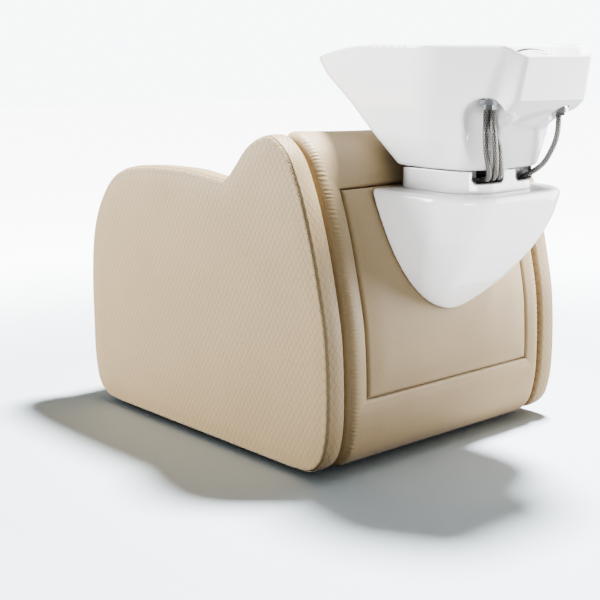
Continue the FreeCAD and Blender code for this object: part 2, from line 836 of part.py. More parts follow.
def tilt_carrier():
    """The fixed yoke with its pins and friction washers, and the carrier that turns with the basin."""
    plate_top = yoke_plate_bottom + yoke_plate_thickness
    plate_z = (yoke_plate_bottom, plate_top)
    depth = (tilt_axis_y - yoke_front, waste_axis_y + yoke_rear)
    yoke = box((-yoke_half_width, yoke_half_width), depth, plate_z)
    yoke = yoke.cut(post(drain_passage_radius, 0, waste_axis_y, (yoke_plate_bottom - cut_overrun, tilt_z)))
    ear_x = (ear_inner_x, ear_inner_x + ear_thickness)
    ear = rod_x(ear_radius, ear_x, tilt_axis_y, tilt_z).fuse(
        box(ear_x, (tilt_axis_y - ear_radius, tilt_axis_y + ear_radius), (plate_top, tilt_z)))
    ear = ear.cut(rod_x(pin_radius, (ear_x[0] - cut_overrun, ear_x[1] + cut_overrun), tilt_axis_y, tilt_z))
    save("tilt_yoke", yoke.fuse([ear, mirror_x(ear)]).removeSplitter())

    pin = rod_x(pin_radius, (lug_inner_x - pin_head_length / 2, ear_x[1]), tilt_axis_y, tilt_z)
    pin_head = rod_x(pin_head_radius, (ear_x[1], ear_x[1] + pin_head_length), tilt_axis_y, tilt_z)
    pin = pin.fuse(pin_head).removeSplitter()
    save("tilt_pins", pin, mirror_x(pin))

    lug_x = (lug_inner_x, lug_inner_x + carrier_lug_thickness)
    bush_radius = pin_radius + bush_wall
    washer_x = (lug_x[1] + seat_clearance, ear_x[0])
    washer = rod_x(ear_radius, washer_x, tilt_axis_y, tilt_z).cut(
        rod_x(pin_radius, washer_x, tilt_axis_y, tilt_z))
    save("friction_washers", washer, mirror_x(washer))

    bush = rod_x(bush_radius, lug_x, tilt_axis_y, tilt_z).cut(
        rod_x(pin_radius + pin_clearance, lug_x, tilt_axis_y, tilt_z))
    save("tilt_bushes", bush, mirror_x(bush))
    lug = rod_x(ear_radius, lug_x, tilt_axis_y, tilt_z).fuse(
        box(lug_x, (tilt_axis_y - ear_radius, tilt_axis_y + ear_radius), (tilt_z, carrier_bottom)))
    lug = lug.cut(rod_x(bush_radius, lug_x, tilt_axis_y, tilt_z))
    plate = box(
        (-carrier_half_width, carrier_half_width),
        (tilt_axis_y - ear_radius, waste_axis_y + carrier_half_depth),
        (carrier_bottom, ceramic_underside))
    plate = plate.cut(post(carrier_hole_radius, 0, waste_axis_y, (carrier_bottom, ceramic_underside)))
    carrier = plate.fuse([lug, mirror_x(lug)])
    bolts = []
    for x, y in bracket_bolt_places():
        shank_z = (carrier_bottom, ceramic_underside + bracket_bolt_grip)
        shank = post(bracket_bolt_radius, x, y, shank_z)
        head_z = (carrier_bottom - bracket_bolt_head_length, carrier_bottom)
        head = post(bracket_bolt_head_radius, x, y, head_z)
        carrier = carrier.cut(shank)
        bolts.append(shank.fuse(head).removeSplitter())
    save("basin_bracket", carrier.removeSplitter())
    save("bracket_bolts", *bolts)


def bracket_bolt_places():
    """Where the carrier is bolted to the basin."""
    places = []
    for side in (-1, 1):
        places.append((side * bracket_bolt_x, waste_axis_y - bracket_bolt_y))
        places.append((side * bracket_bolt_x, waste_axis_y + bracket_bolt_y))
    return places


def basin_section(share, z, forward):
    """The basin's outer outline, from foot (share 0) to rim (share 1), its ears brought forward."""
    bulge = 4 * flank_bulge * share * (1 - share)
    foot = (
        (foot_corner_half_width, -foot_front), (foot_half_width, (foot_rear - foot_front) / 2),
        (foot_corner_half_width, foot_rear),
    )
    rim = (
        (ear_half_width, -ear_front), (basin_half_width, basin_widest_y), (crease_half_width, crease_y))
    radii = (
        foot_corner + (ear_corner - foot_corner) * share,
        flank_round,
        foot_rear_corner + (crease_round - foot_rear_corner) * share,
    )
    corners = []
    for low, high, bulge_share, moved in zip(foot, rim, flank_bulge_shares, (forward, 0, 0)):
        x = low[0] + (high[0] - low[0]) * share + bulge * bulge_share
        y = low[1] + (high[1] - low[1]) * share - moved
        corners.append((x, rear_y + y))
    return half_outline(corners, radii, z)


def basin_outside():
    """The basin's outer form: flared body, lowered tail and sloping front lip."""
    height = rim_height - foot_height
    levels = []
    for share, bulge_share in zip(basin_level_shares, ear_bulge_shares):
        levels.append(basin_section(share, foot_height + height * share, ear_bulge * bulge_share))
    body = loft(levels)
    front = rear_y + tail_front
    wires = []
    for tail_drop, half_width, setback in tail_sections:
        share = 1 - tail_drop / height
        inset = tail_crease_inset * (1 - share)
        crease = (
            foot_corner_half_width + (crease_half_width - foot_corner_half_width) * share - inset,
            rear_y + foot_rear + (crease_y - foot_rear) * share - inset,
        )
        corners = [(crease[0], front), crease, (half_width, rear_y + basin_overhang - setback)]
        wires.append(half_outline(corners, [tail_round, crease_round, crease_round], rim_height - tail_drop))
    tail = loft(wires)
    shoulder = Part.makePolygon([
        point(tail_half_width, 0, tail_top),
        point(crease_half_width, 0, rim_height),
        point(crease_half_width, 0, rim_height + cut_overrun),
        point(-crease_half_width, 0, rim_height + cut_overrun),
        point(-crease_half_width, 0, rim_height),
        point(-tail_half_width, 0, tail_top),
        point(tail_half_width, 0, tail_top),
    ])
    step = Part.Face(shoulder).extrude(point(0, basin_overhang, 0))
    step.translate(point(0, rear_y + niche_y, 0))
    drop = rim_height - lip_height
    run = ear_front - lip_slope_start
    radius = (run * run + drop * drop) / (2 * drop)
    slope_y = rear_y - lip_slope_start
    lip_end = point(0, slope_y - run, lip_height)
    half_turn = math.asin(run / radius) / 2
    lip_middle = point(
        0, slope_y - radius * math.sin(half_turn), rim_height - radius * (1 - math.cos(half_turn)))
    lip_start = point(0, slope_y, rim_height)
    over_start = point(0, slope_y, rim_height + cut_overrun)
    over_end = point(0, slope_y - run - cut_overrun, rim_height + cut_overrun)
    low_end = point(0, slope_y - run - cut_overrun, lip_height)
    outline = Part.Wire([
        Part.Arc(lip_start, lip_middle, lip_end).toShape(),
        Part.LineSegment(lip_end, low_end).toShape(),
        Part.LineSegment(low_end, over_end).toShape(),
        Part.LineSegment(over_end, over_start).toShape(),
        Part.LineSegment(over_start, lip_start).toShape(),
    ])
    lip = Part.Face(outline).extrude(point(2 * basin_half_width, 0, 0))
    lip.translate(point(-basin_half_width, 0, 0))
    return body.fuse(tail).cut(step).cut(lip)


def ledge_section(z, share, wall):
    """The inner outline above the tap ledge; share runs from the foot to the rim."""
    corners = []
    low_high = (
        ((foot_corner_half_width, -foot_front), (ear_half_width, -ear_front)),
        ((foot_half_width, (foot_rear - foot_front) / 2), (basin_half_width, basin_widest_y)),
        ((foot_corner_half_width, foot_rear), (crease_half_width, crease_y)),
    )
    signs = ((-1, 1), (-1, 0), (-1, -1))
    for (low, high), (x_sign, y_sign) in zip(low_high, signs):
        x = low[0] + (high[0] - low[0]) * share + x_sign * wall
        y = low[1] + (high[1] - low[1]) * share + y_sign * wall
        corners.append((x, rear_y + y))
    tail_rear = rear_y + basin_overhang - tail_lean * (1 - share) - wall
    corners.append((tail_half_width - wall, tail_rear))
    return half_outline(corners, (ear_corner, flank_round, crease_round, tail_round), z)


def bowl_section(share):
    """The bowl's inner outline, from its floor (share 0) to the tap ledge (share 1)."""
    floor_length = bowl_floor_front + bowl_floor_rear
    floor = (
        (bowl_floor_half_width * bowl_floor_front_share, -bowl_floor_front),
        (bowl_floor_half_width, floor_length * bowl_floor_middle_share - bowl_floor_front),
        (bowl_floor_half_width * bowl_floor_rear_share, bowl_floor_rear),
    )
    top = (
        (bowl_front_half_width, -bowl_front), (bowl_half_width, bowl_widest_y),
        (bowl_rear_half_width, ledge_front),
    )
    fullness = 4 * bowl_fullness * share * (1 - share)
    corners = []
    for low, high in zip(floor, top):
        x = low[0] + (high[0] - low[0]) * share + fullness
        y = low[1] + (high[1] - low[1]) * share
        corners.append((x, rear_y + y - fullness if y < 0 else rear_y + y))
    z = bowl_floor + (ledge_height - bowl_floor) * share
    return half_outline(corners, (bowl_corner, bowl_flank_round, bowl_corner), z)


def basin_hollows():
    """What is taken out of the basin: bowl, tap ledge, neck dip, foot, niches and holes."""
    height = rim_height - foot_height
    ledge_share = (ledge_height - foot_height) / height
    over_share = 1 + cut_overrun / height
    upper = loft([
        ledge_section(ledge_height, ledge_share, basin_wall),
        ledge_section(rim_height + cut_overrun, over_share, basin_wall),
    ])
    bowl = loft([bowl_section(share) for share in bowl_level_shares])
    neck = Part.makeCylinder(
        neck_radius, ear_front - neck_rear + 2 * cut_overrun,
        point(0, rear_y - ear_front - cut_overrun, neck_height + neck_radius), point(0, 1, 0))
    foot_y = (rear_y - foot_front + foot_wall, rear_y + foot_rear - foot_wall)
    foot_half = foot_corner_half_width - foot_wall
    foot_wire = half_outline(
        [(foot_half, foot_y[0]), (foot_half, foot_y[1])],
        [foot_corner - foot_wall, foot_rear_corner - foot_wall], foot_height)
    foot = prism(foot_wire, foot_hollow)
    hollows = [upper, bowl, neck, foot]
    dome_z = niche_top - niche_radius
    for side in (-1, 1):
        x = side * niche_x
        y = rear_y + niche_y
        scoop = post(niche_radius, x, y, (foot_height - cut_overrun, dome_z))
        dome = Part.makeSphere(niche_radius, point(x, y, dome_z))
        hollows.append(scoop.fuse(dome))
    mixer_place = (mixer_x, rear_y + mixer_y)
    hollows.append(post(mixer_nut_radius + mixer_hole_clearance, *mixer_place, (dome_z, nut_seat_height)))
    hollows.append(post(mixer_shank_radius + mixer_hole_clearance, *mixer_place, (dome_z, rim_height)))
    ferrule_place = (-handset_x, rear_y + handset_y)
    ferrule_z = (ferrule_seat - cut_overrun, rim_height)
    hollows.append(post(ferrule_radius + mixer_hole_clearance, *ferrule_place, ferrule_z))
    spot_z = (ferrule_seat - cut_overrun, ferrule_seat)
    hollows.append(post(ferrule_nut_radius + mixer_hole_clearance, *ferrule_place, spot_z))
    hollows.append(post(waste_radius + mixer_hole_clearance, 0, waste_axis_y, (foot_height, ledge_height)))
    for x, y in bracket_bolt_places():
        hollows.append(post(bracket_bolt_radius, x, y, (foot_height, ceramic_underside + bracket_bolt_grip)))
    return hollows


def basin():
    """The ceramic basin."""
    shape = basin_outside()
    for hollow in basin_hollows():
        shape = shape.cut(hollow)
    save("basin", shape)


def ring_of_holes(radius, shares, counts, hole_radius, x, y, z_range):
    """Rings of small upright holes about an axis."""
    holes = []
    for share, count in zip(shares, counts):
        for index in range(count):
            turn = 2 * math.pi * index / count
            place = (x + radius * share * math.cos(turn), y + radius * share * math.sin(turn))
            holes.append(post(hole_radius, *place, z_range))
    return holes


def waste():
    """The waste outlet in the bowl's floor, with its gasket, nut and lift-out strainer."""
    flange_top = bowl_floor + waste_flange_height
    bore = waste_radius - waste_wall
    flange_z = (bowl_floor, flange_top)
    flange = pipe(waste_flange_radius, strainer_radius + slide_clearance, 0, waste_axis_y, flange_z)
    seat = pipe(waste_flange_radius, bore, 0, waste_axis_y, (bowl_floor, flange_top - strainer_height))
    tail = pipe(waste_radius, bore, 0, waste_axis_y, (waste_tail_bottom, bowl_floor))
    save("waste_flange", flange.fuse([seat, tail]).removeSplitter())
    gasket_z = (ceramic_underside - gasket_thickness, ceramic_underside)
    save("waste_gasket", pipe(gasket_radius, waste_radius, 0, waste_axis_y, gasket_z))
    nut_z = (gasket_z[0] - waste_nut_height, gasket_z[0])
    save("waste_nut", pipe(waste_nut_radius, waste_radius, 0, waste_axis_y, nut_z))
    plate_z = (flange_top - strainer_height, flange_top)
    plate = post(strainer_radius, 0, waste_axis_y, plate_z)
    holes = ring_of_holes(
        strainer_radius, strainer_ring_shares, strainer_ring_counts, strainer_hole_radius,
        0, waste_axis_y, (plate_z[0] - cut_overrun, plate_z[1] + cut_overrun))
    knob = post(strainer_knob_radius, 0, waste_axis_y, (plate_z[1], plate_z[1] + strainer_knob_height))
    knob = knob.makeFillet(strainer_knob_radius / 2, [knob.Edges[0]])
    save("hair_strainer", plate.cut(Part.makeCompound(holes)).fuse(knob))


def mixer():
    """The single-lever mixer on the tap ledge: base with shank, nut, turning cap and arched lever."""
    x = mixer_x
    y = rear_y + mixer_y
    flange_top = ledge_height + mixer_flange_height
    base = post(mixer_flange_radius, x, y, (ledge_height, flange_top))
    base = base.makeFillet(mixer_flange_height / 2, [base.Edges[0]])
    body = post(mixer_body_radius, x, y, (flange_top, mixer_body_top))
    shank = post(mixer_shank_radius, x, y, (mixer_shank_bottom, ledge_height))
    save("mixer_base", base.fuse([body, shank]).removeSplitter())
    nut_z = (nut_seat_height - mixer_nut_height, nut_seat_height)
    save("mixer_nut", pipe(mixer_nut_radius, mixer_shank_radius, x, y, nut_z))

    cap_z = (mixer_body_top + joint_gap, mixer_body_top + joint_gap + mixer_cap_height)
    cap = post(mixer_body_radius, x, y, cap_z)
    cap = cap.makeFillet(mixer_cap_round, [cap.Edges[0]])
    heading = math.radians(lever_heading)
    along = point(math.cos(heading), math.sin(heading), 0)
    across = point(-along.y, along.x, 0)
    centre = point(x, y, 0)

    def place(distance, z):
        """A point at a distance along the lever's heading and at a height."""
        spot = centre.add(FreeCAD.Vector(along).multiply(distance))
        return point(spot.x, spot.y, z)

    slot_half = lever_radius + lever_slot_clearance
    slot_drop = lever_hub_radius + lever_slot_clearance
    slot = Part.makeBox(
        slot_drop + mixer_body_radius + cut_overrun, 2 * slot_half, mixer_cap_height + cut_overrun)
    slot.translate(point(-slot_drop, -slot_half, lever_pivot_z - slot_drop))
    slot.rotate(point(0, 0, 0), point(0, 0, 1), lever_heading)
    slot.translate(centre)
    pin_half = mixer_body_radius - mixer_cap_round
    pin_start = place(0, lever_pivot_z).sub(FreeCAD.Vector(across).multiply(pin_half))
    pin = Part.makeCylinder(lever_pin_radius, 2 * pin_half, pin_start, across)
    save("mixer_cap", cap.cut(slot).fuse(pin).removeSplitter())

    start = place(0, lever_pivot_z)
    peak = place(lever_peak, lever_peak_z)
    tip = place(lever_length, lever_tip_z)
    spine = Part.Arc(start, peak, tip)
    section = Part.Wire(Part.Circle(start, spine.tangent(spine.FirstParameter)[0], lever_radius).toShape())
    bar = Part.Wire(spine.toShape()).makePipeShell([section], True, False)
    hub_start = start.sub(FreeCAD.Vector(across).multiply(lever_radius))
    hub = Part.makeCylinder(lever_hub_radius, 2 * lever_radius, hub_start, across)
    ball = Part.makeSphere(lever_tip_radius, tip)
    hole = Part.makeCylinder(lever_pin_radius + pin_clearance, 2 * pin_half, pin_start, across)
    save("mixer_lever", bar.fuse([hub, ball]).cut(hole))


def hand_shower():
    """The pull-out hand shower in its ferrule on the tap ledge."""
    x = -handset_x
    y = rear_y + handset_y
    flange_top = ledge_height + ferrule_flange_height
    flange = post(ferrule_flange_radius, x, y, (ledge_height, flange_top))
    flange = flange.makeFillet(ferrule_flange_height / 2, [flange.Edges[0]])
    sleeve = post(ferrule_radius, x, y, (ferrule_bottom, ledge_height))
    bore = post(ferrule_bore_radius, x, y, (ferrule_bottom, flange_top))
    save("handset_ferrule", flange.fuse(sleeve).removeSplitter().cut(bore))
    nut_z = (ferrule_seat - ferrule_nut_height, ferrule_seat)
    save("ferrule_nut", pipe(ferrule_nut_radius, ferrule_radius, x, y, nut_z))

    seat = flange_top + seat_clearance
    handle_bottom = flange_top - handle_length
    handle = post(handle_radius, x, y, (handle_bottom, seat))
    neck_top = seat + handset_head_height
    head = Part.makeCone(handset_neck_radius, handset_head_radius, handset_head_height, point(x, y, seat))
    rim = post(handset_head_radius, x, y, (neck_top, neck_top + spray_height))
    recess = post(spray_radius, x, y, (neck_top + spray_recess, neck_top + spray_height))
    save("handset_body", handle.fuse([head, rim]).cut(recess).removeSplitter())
    face_z = (neck_top + spray_recess, neck_top + spray_height)
    face = post(spray_radius, x, y, face_z)
    holes = ring_of_holes(
        spray_radius, spray_ring_shares, spray_ring_counts, spray_hole_radius,
        x, y, (face_z[0] - cut_overrun, face_z[1] + cut_overrun))
    save("spray_face", face.cut(Part.makeCompound(holes)))
    save("handset_hose", post(shower_hose_radius, x, y, (ferrule_bottom, handle_bottom)))


def route_height(z):
    """A route's height: it moves with the rim above the knee, and stays as it is at the floor."""
    rise = rim_height - route_rim_height
    share = (z - route_fixed_height) / (route_knee_height - route_fixed_height)
    return z + rise * min(1, max(0, share))


def hose(node, route, radius):
    """A hose along a route: straight runs joined by the largest tangent arcs that they allow."""
    places = [point(x, rear_y + y, route_height(z)) for x, y, z in route]
    edges = []
    here = places[0]
    for before, corner, after in zip(places, places[1:], places[2:]):
        inward = before.sub(corner)
        outward = after.sub(corner)
        reach = bend_share * min(inward.Length, outward.Length)
        half_turn = (math.pi - inward.getAngle(outward)) / 2
        bend = reach / math.tan(half_turn)
        start = corner.add(inward.normalize().multiply(reach))
        end = corner.add(outward.normalize().multiply(reach))
        towards = start.sub(corner).add(end.sub(corner))
        sagitta = bend / math.cos(half_turn) - bend
        middle = corner.add(towards.normalize().multiply(sagitta))
        edges.append(Part.LineSegment(here, start).toShape())
        edges.append(Part.Arc(start, middle, end).toShape())
        here = end
    edges.append(Part.LineSegment(here, places[-1]).toShape())
    spine = Part.Wire(edges)
    heading = places[1].sub(places[0])
    section = Part.Wire(Part.Circle(places[0], heading, radius).toShape())
    tube = spine.makePipeShell([section], True, False)
    print(node, "length", round(spine.Length))
    save(node, tube)


def plumbing():
    """The hoses, the coupling between outlet and shower hose, the inlet block and the drain."""
    hose("hot_hose", hot_route, supply_hose_radius)
    hose("cold_hose", cold_route, supply_hose_radius)
    hose("outlet_hose", outlet_route, supply_hose_radius)
    hose("shower_hose", shower_route, shower_hose_radius)
    hose("drain_hose", drain_route, drain_hose_radius)
    end_x, coupling_y, coupling_z = outlet_route[-1]
    start_x = shower_route[0][0]
    coupling_place = (rear_y + coupling_y, route_height(coupling_z))
    save("hose_coupling", rod_x(coupling_radius, (start_x, end_x), *coupling_place))
    block_y = (rear_y - frame_rear, rear_y - frame_rear + inlet_block_depth)
    block = box(
        (inlet_x - inlet_block_width / 2, inlet_x + inlet_block_width / 2), block_y,
        (inlet_block_bottom, inlet_block_bottom + inlet_block_height))
    for side in (-1, 1):
        hole_x = inlet_x + side * inlet_half_spacing
        hole_z = (inlet_block_bottom, inlet_block_bottom + inlet_hole_depth)
        block = block.cut(post(inlet_hole_radius, hole_x, (block_y[0] + block_y[1]) / 2, hole_z))
    save("inlet_block", block)
    spigot_y = rear_y - frame_rear + spigot_gap + spigot_radius
    spigot_z = (spigot_bottom, spigot_top)
    bore = post(spigot_radius - spigot_wall, 0, spigot_y, spigot_z)
    plate = box(
        (-upright_half_spacing - upright_width / 2, spigot_radius),
        (rear_y - frame_rear, spigot_y + spigot_radius),
        (spigot_top - spigot_plate_thickness, spigot_top))
    spigot = post(spigot_radius, 0, spigot_y, spigot_z).fuse(plate).cut(bore)
    save("drain_spigot", spigot.removeSplitter())


def main():
    """Build and write every piece."""
    os.makedirs("parts", exist_ok=True)
    arms()
    seat()
    backrest()
    frames()
    pedestal()
    tilt_carrier()
    basin()
    waste()
    mixer()
    hand_shower()
    plumbing()


main()
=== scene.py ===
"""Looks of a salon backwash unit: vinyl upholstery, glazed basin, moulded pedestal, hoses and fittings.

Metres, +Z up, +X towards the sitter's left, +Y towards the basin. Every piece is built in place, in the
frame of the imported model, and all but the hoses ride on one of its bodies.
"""
from __future__ import annotations

import json
import logging
import math
from dataclasses import dataclass, field
from enum import Enum
from typing import Any, Callable, ClassVar, Sequence

import bmesh
import bpy
import numpy as np
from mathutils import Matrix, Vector

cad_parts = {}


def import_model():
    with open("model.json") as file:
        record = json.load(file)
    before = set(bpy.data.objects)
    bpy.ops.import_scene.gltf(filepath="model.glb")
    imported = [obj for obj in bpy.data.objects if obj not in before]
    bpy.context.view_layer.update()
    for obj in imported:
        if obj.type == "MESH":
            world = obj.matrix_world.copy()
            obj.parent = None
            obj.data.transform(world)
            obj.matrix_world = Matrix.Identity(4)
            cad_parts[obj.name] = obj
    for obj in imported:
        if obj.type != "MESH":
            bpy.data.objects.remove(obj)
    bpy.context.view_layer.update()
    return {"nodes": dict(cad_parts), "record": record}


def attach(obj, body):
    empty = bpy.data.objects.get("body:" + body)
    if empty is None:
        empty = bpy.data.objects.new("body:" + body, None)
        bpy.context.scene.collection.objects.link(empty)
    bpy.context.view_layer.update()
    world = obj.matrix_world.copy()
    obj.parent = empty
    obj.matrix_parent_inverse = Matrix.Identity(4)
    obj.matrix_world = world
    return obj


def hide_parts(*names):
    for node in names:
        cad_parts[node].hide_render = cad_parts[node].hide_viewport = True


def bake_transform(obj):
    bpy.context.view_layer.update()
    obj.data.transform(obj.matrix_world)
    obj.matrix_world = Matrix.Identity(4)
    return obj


LOG = logging.getLogger("backwash")
VINYL_MAP = "vinyl_run"
HOSE_MAP = "run"
WELD = 1e-5
REAR_Y = 0.323
ARM_DEPTH = 0.92
ARM_HEIGHT = 0.74
MILLIMETRES = 1000
Pair = tuple[float, float]
Triple = tuple[float, float, float]
Colour = tuple[float, float, float, float]
Tree = bpy.types.NodeTree
Socket = bpy.types.NodeSocket
Piece = bpy.types.Object
Skin = bpy.types.Material
Node = bpy.types.Node

# Side outline of the arms: share of the depth in front of the rear edge, share of the height.
OUTLINE_SHARES: tuple[Pair, ...] = (
    (0.130, 0.0190), (0.060, 0.0300), (0.024, 0.0680), (0.006, 0.1350), (0.000, 0.2400), (0.009, 0.4390),
    (0.031, 0.5740), (0.063, 0.7230), (0.105, 0.8650), (0.148, 0.9560), (0.204, 1.0000), (0.253, 0.9890),
    (0.300, 0.9550), (0.345, 0.8960), (0.378, 0.8600), (0.416, 0.8600), (0.520, 0.8720), (0.697, 0.8680),
    (0.811, 0.8500), (0.882, 0.8090), (0.930, 0.7460), (0.965, 0.6720), (0.986, 0.5900), (0.999, 0.4600),
    (1.000, 0.3000), (0.996, 0.1500), (0.978, 0.0680), (0.940, 0.0290), (0.870, 0.0190),
)

# Distances from a padded edge at which its skin gets a line of points.
PAD_STEPS = (0.0, 0.0006, 0.0016, 0.003, 0.005, 0.008, 0.013, 0.02)
ROLL_STEPS = (0.0, 0.0004, 0.0012, 0.0025, 0.0045, 0.007, 0.010, 0.0135, 0.017, 0.0205, 0.024, 0.029, 0.035)
WINDOW_STEPS = (0.0, 0.0006, 0.0016, 0.003, 0.005, 0.009)
MIDDLE_X = 0.02
MIDDLE_COLUMNS = 12
ROW_MARGIN = 0.03


class Side(Enum):
    """The two sides of the unit, by the sign of X."""

    LEFT = 1
    RIGHT = -1


class Axis(Enum):
    """The two axes of the side outline."""

    Y = 0
    Z = 1


class Lit(Enum):
    """How a lamp treats the pieces that are named to it."""

    ONLY = "INCLUDE"
    NEVER = "EXCLUDE"


def add_node(tree: Tree, kind: str, inputs: dict[Any, Any] | None = None, **settings: Any) -> Node:
    """Add a node to a tree.

    Args:
        tree: The node tree.
        kind: The node's type name.
        inputs: Input names or numbers with their values, or with the sockets that feed them.
        settings: Properties of the node.

    Returns:
        The new node.
    """
    made = tree.nodes.new(kind)
    for key, value in settings.items():
        setattr(made, key, value)
    for key, value in (inputs or {}).items():
        if isinstance(value, Socket):
            tree.links.new(value, made.inputs[key])
        else:
            made.inputs[key].default_value = value
    return made


def maths(tree: Tree, operation: str, *values: Any) -> Socket:
    """Add a Math node.

    Args:
        tree: The node tree.
        operation: The Math node's operation.
        values: Its inputs, numbers or sockets.

    Returns:
        Its result.
    """
    return add_node(tree, "ShaderNodeMath", dict(enumerate(values)), operation=operation).outputs[0]


def new_group(name: str, inputs: dict[str, tuple[str, Any]],
              outputs: dict[str, str]) -> tuple[Tree, Node, Node]:
    """Start a shader node group.

    Args:
        name: The group's name.
        inputs: Each input's name with its socket type and default value, or None for no default.
        outputs: Each output's name with its socket type.

    Returns:
        The tree, its input node and its output node.
    """
    tree = bpy.data.node_groups.new(name, "ShaderNodeTree")
    for label, (kind, value) in inputs.items():
        socket = tree.interface.new_socket(label, in_out="INPUT", socket_type=kind)
        if value is not None:
            socket.default_value = value
    for label, kind in outputs.items():
        tree.interface.new_socket(label, in_out="OUTPUT", socket_type=kind)
    return tree, tree.nodes.new("NodeGroupInput"), tree.nodes.new("NodeGroupOutput")


@dataclass(frozen=True)
class Effects:
    """Shader groups that several finishes share."""

    FINE_SCALE: ClassVar[float] = 0.21
    FINE_HEIGHT: ClassVar[float] = 0.8
    PEBBLE_HEIGHT: ClassVar[float] = -0.6
    grain: Tree
    emboss: Tree
    drift: Tree
    braid: Tree

    @classmethod
    def build(cls) -> "Effects":
        """Build every shared group once."""
        return cls(cls.make_grain(), cls.make_emboss(), cls.make_drift(), cls.make_braid())

    @classmethod
    def make_grain(cls) -> Tree:
        """Pebbled grain with finer creases between the pebbles.

        Returns:
            The group, with the height of the grain and a mask of its creases.
        """
        tree, start, end = new_group(
            "pebble_grain",
            {"Vector": ("NodeSocketVector", None), "Scale": ("NodeSocketFloat", 700.0)},
            {"Height": "NodeSocketFloat", "Crease": "NodeSocketFloat"})
        cells = add_node(tree, "ShaderNodeTexVoronoi", {
            "Vector": start.outputs["Vector"], "Scale": start.outputs["Scale"]}, feature="SMOOTH_F1")
        fine = add_node(tree, "ShaderNodeTexNoise", {
            "Vector": start.outputs["Vector"],
            "Scale": maths(tree, "MULTIPLY", start.outputs["Scale"], cls.FINE_SCALE),
            "Detail": 4.0, "Roughness": 0.6})
        height = maths(tree, "ADD", maths(tree, "MULTIPLY", cells.outputs["Distance"], cls.PEBBLE_HEIGHT),
                       maths(tree, "MULTIPLY", fine.outputs["Fac"], cls.FINE_HEIGHT))
        crease = add_node(tree, "ShaderNodeMapRange", {
            "Value": cells.outputs["Distance"], "From Min": 0.35, "From Max": 0.75})
        tree.links.new(height, end.inputs["Height"])
        tree.links.new(crease.outputs[0], end.inputs["Crease"])
        return tree

    @staticmethod
    def make_emboss() -> Tree:
        """A lattice of pressed diamonds.

        Returns:
            The group, with the depth of the pressed lines.
        """
        tree, start, end = new_group(
            "pressed_diamonds",
            {"Across": ("NodeSocketFloat", None), "Up": ("NodeSocketFloat", None),
             "Width": ("NodeSocketFloat", 0.015), "Height": ("NodeSocketFloat", 0.025)},
            {"Line": "NodeSocketFloat"})
        across = maths(tree, "DIVIDE", start.outputs["Across"], start.outputs["Width"])
        rise = maths(tree, "DIVIDE", start.outputs["Up"], start.outputs["Height"])
        nearest = []
        for operation in ("ADD", "SUBTRACT"):
            run = maths(tree, "FRACT", maths(tree, operation, across, rise))
            nearest.append(maths(tree, "ABSOLUTE", maths(tree, "SUBTRACT", run, 0.5)))
        furthest = maths(tree, "MAXIMUM", *nearest)
        line = add_node(tree, "ShaderNodeMapRange", {
            "Value": furthest, "From Min": 0.36, "From Max": 0.5}, interpolation_type="SMOOTHSTEP")
        tree.links.new(line.outputs[0], end.inputs["Line"])
        return tree

    @staticmethod
    def make_drift() -> Tree:
        """Broad and fine uneven tone, for handled and moulded surfaces.

        Returns:
            The group, with a mask from 0 to 1.
        """
        tree, start, end = new_group(
            "uneven_tone",
            {"Vector": ("NodeSocketVector", None), "Scale": ("NodeSocketFloat", 6.0)},
            {"Mask": "NodeSocketFloat"})
        broad = add_node(tree, "ShaderNodeTexNoise", {
            "Vector": start.outputs["Vector"], "Scale": start.outputs["Scale"],
            "Detail": 5.0, "Roughness": 0.55})
        mask = add_node(tree, "ShaderNodeMapRange", {
            "Value": broad.outputs["Fac"], "From Min": 0.3, "From Max": 0.7})
        tree.links.new(mask.outputs[0], end.inputs["Mask"])
        return tree

    @staticmethod
    def make_braid() -> Tree:
        """Crossing flat strands of a braid, on a tube's own UV map.

        Returns:
            The group, with the braid's height and a mask of the strands.
        """
        tree, start, end = new_group(
            "woven_braid",
            {"UV": ("NodeSocketVector", None), "Strands": ("NodeSocketFloat", 8.0),
             "Pitch": ("NodeSocketFloat", 0.9)},
            {"Height": "NodeSocketFloat", "Strand": "NodeSocketFloat"})
        parts = add_node(tree, "ShaderNodeSeparateXYZ", {0: start.outputs["UV"]})
        turn = maths(tree, "MULTIPLY", parts.outputs[0], start.outputs["Strands"])
        run = maths(tree, "DIVIDE", parts.outputs[1], start.outputs["Pitch"])
        waves = []
        for operation in ("ADD", "SUBTRACT"):
            angle = maths(tree, "MULTIPLY", maths(tree, operation, turn, run), math.tau)
            waves.append(maths(tree, "SINE", angle))
        height = maths(tree, "MAXIMUM", *waves)
        strand = add_node(tree, "ShaderNodeMapRange", {"Value": height, "From Min": -0.6, "From Max": 0.7})
        tree.links.new(height, end.inputs["Height"])
        tree.links.new(strand.outputs[0], end.inputs["Strand"])
        return tree


def place_group(tree: Tree, group: Tree, inputs: dict[str, Any]) -> Node:
    """Place a shared group in a material.

    Args:
        tree: The material's tree.
        group: The shared group.
        inputs: Its inputs.

    Returns:
        The group node.
    """
    return add_node(tree, "ShaderNodeGroup", inputs, node_tree=group)


def new_material(name: str) -> tuple[Skin, Tree, Node]:
    """Start a material.

    Args:
        name: The material's name.

    Returns:
        The material, its tree and its Principled BSDF.
    """
    material = bpy.data.materials.new(name)
    material.use_nodes = True
    tree = material.node_tree
    return material, tree, tree.nodes["Principled BSDF"]


def mixed(tree: Tree, mask: Socket, first: Any, second: Any) -> Socket:
    """Mix two colours by a mask.

    Args:
        tree: The material's tree.
        mask: Where the second colour shows.
        first: A colour or a socket.
        second: A colour or a socket.

    Returns:
        The mixed colour.
    """
    made = add_node(tree, "ShaderNodeMix", {0: mask, 6: first, 7: second}, data_type="RGBA")
    return made.outputs[2]


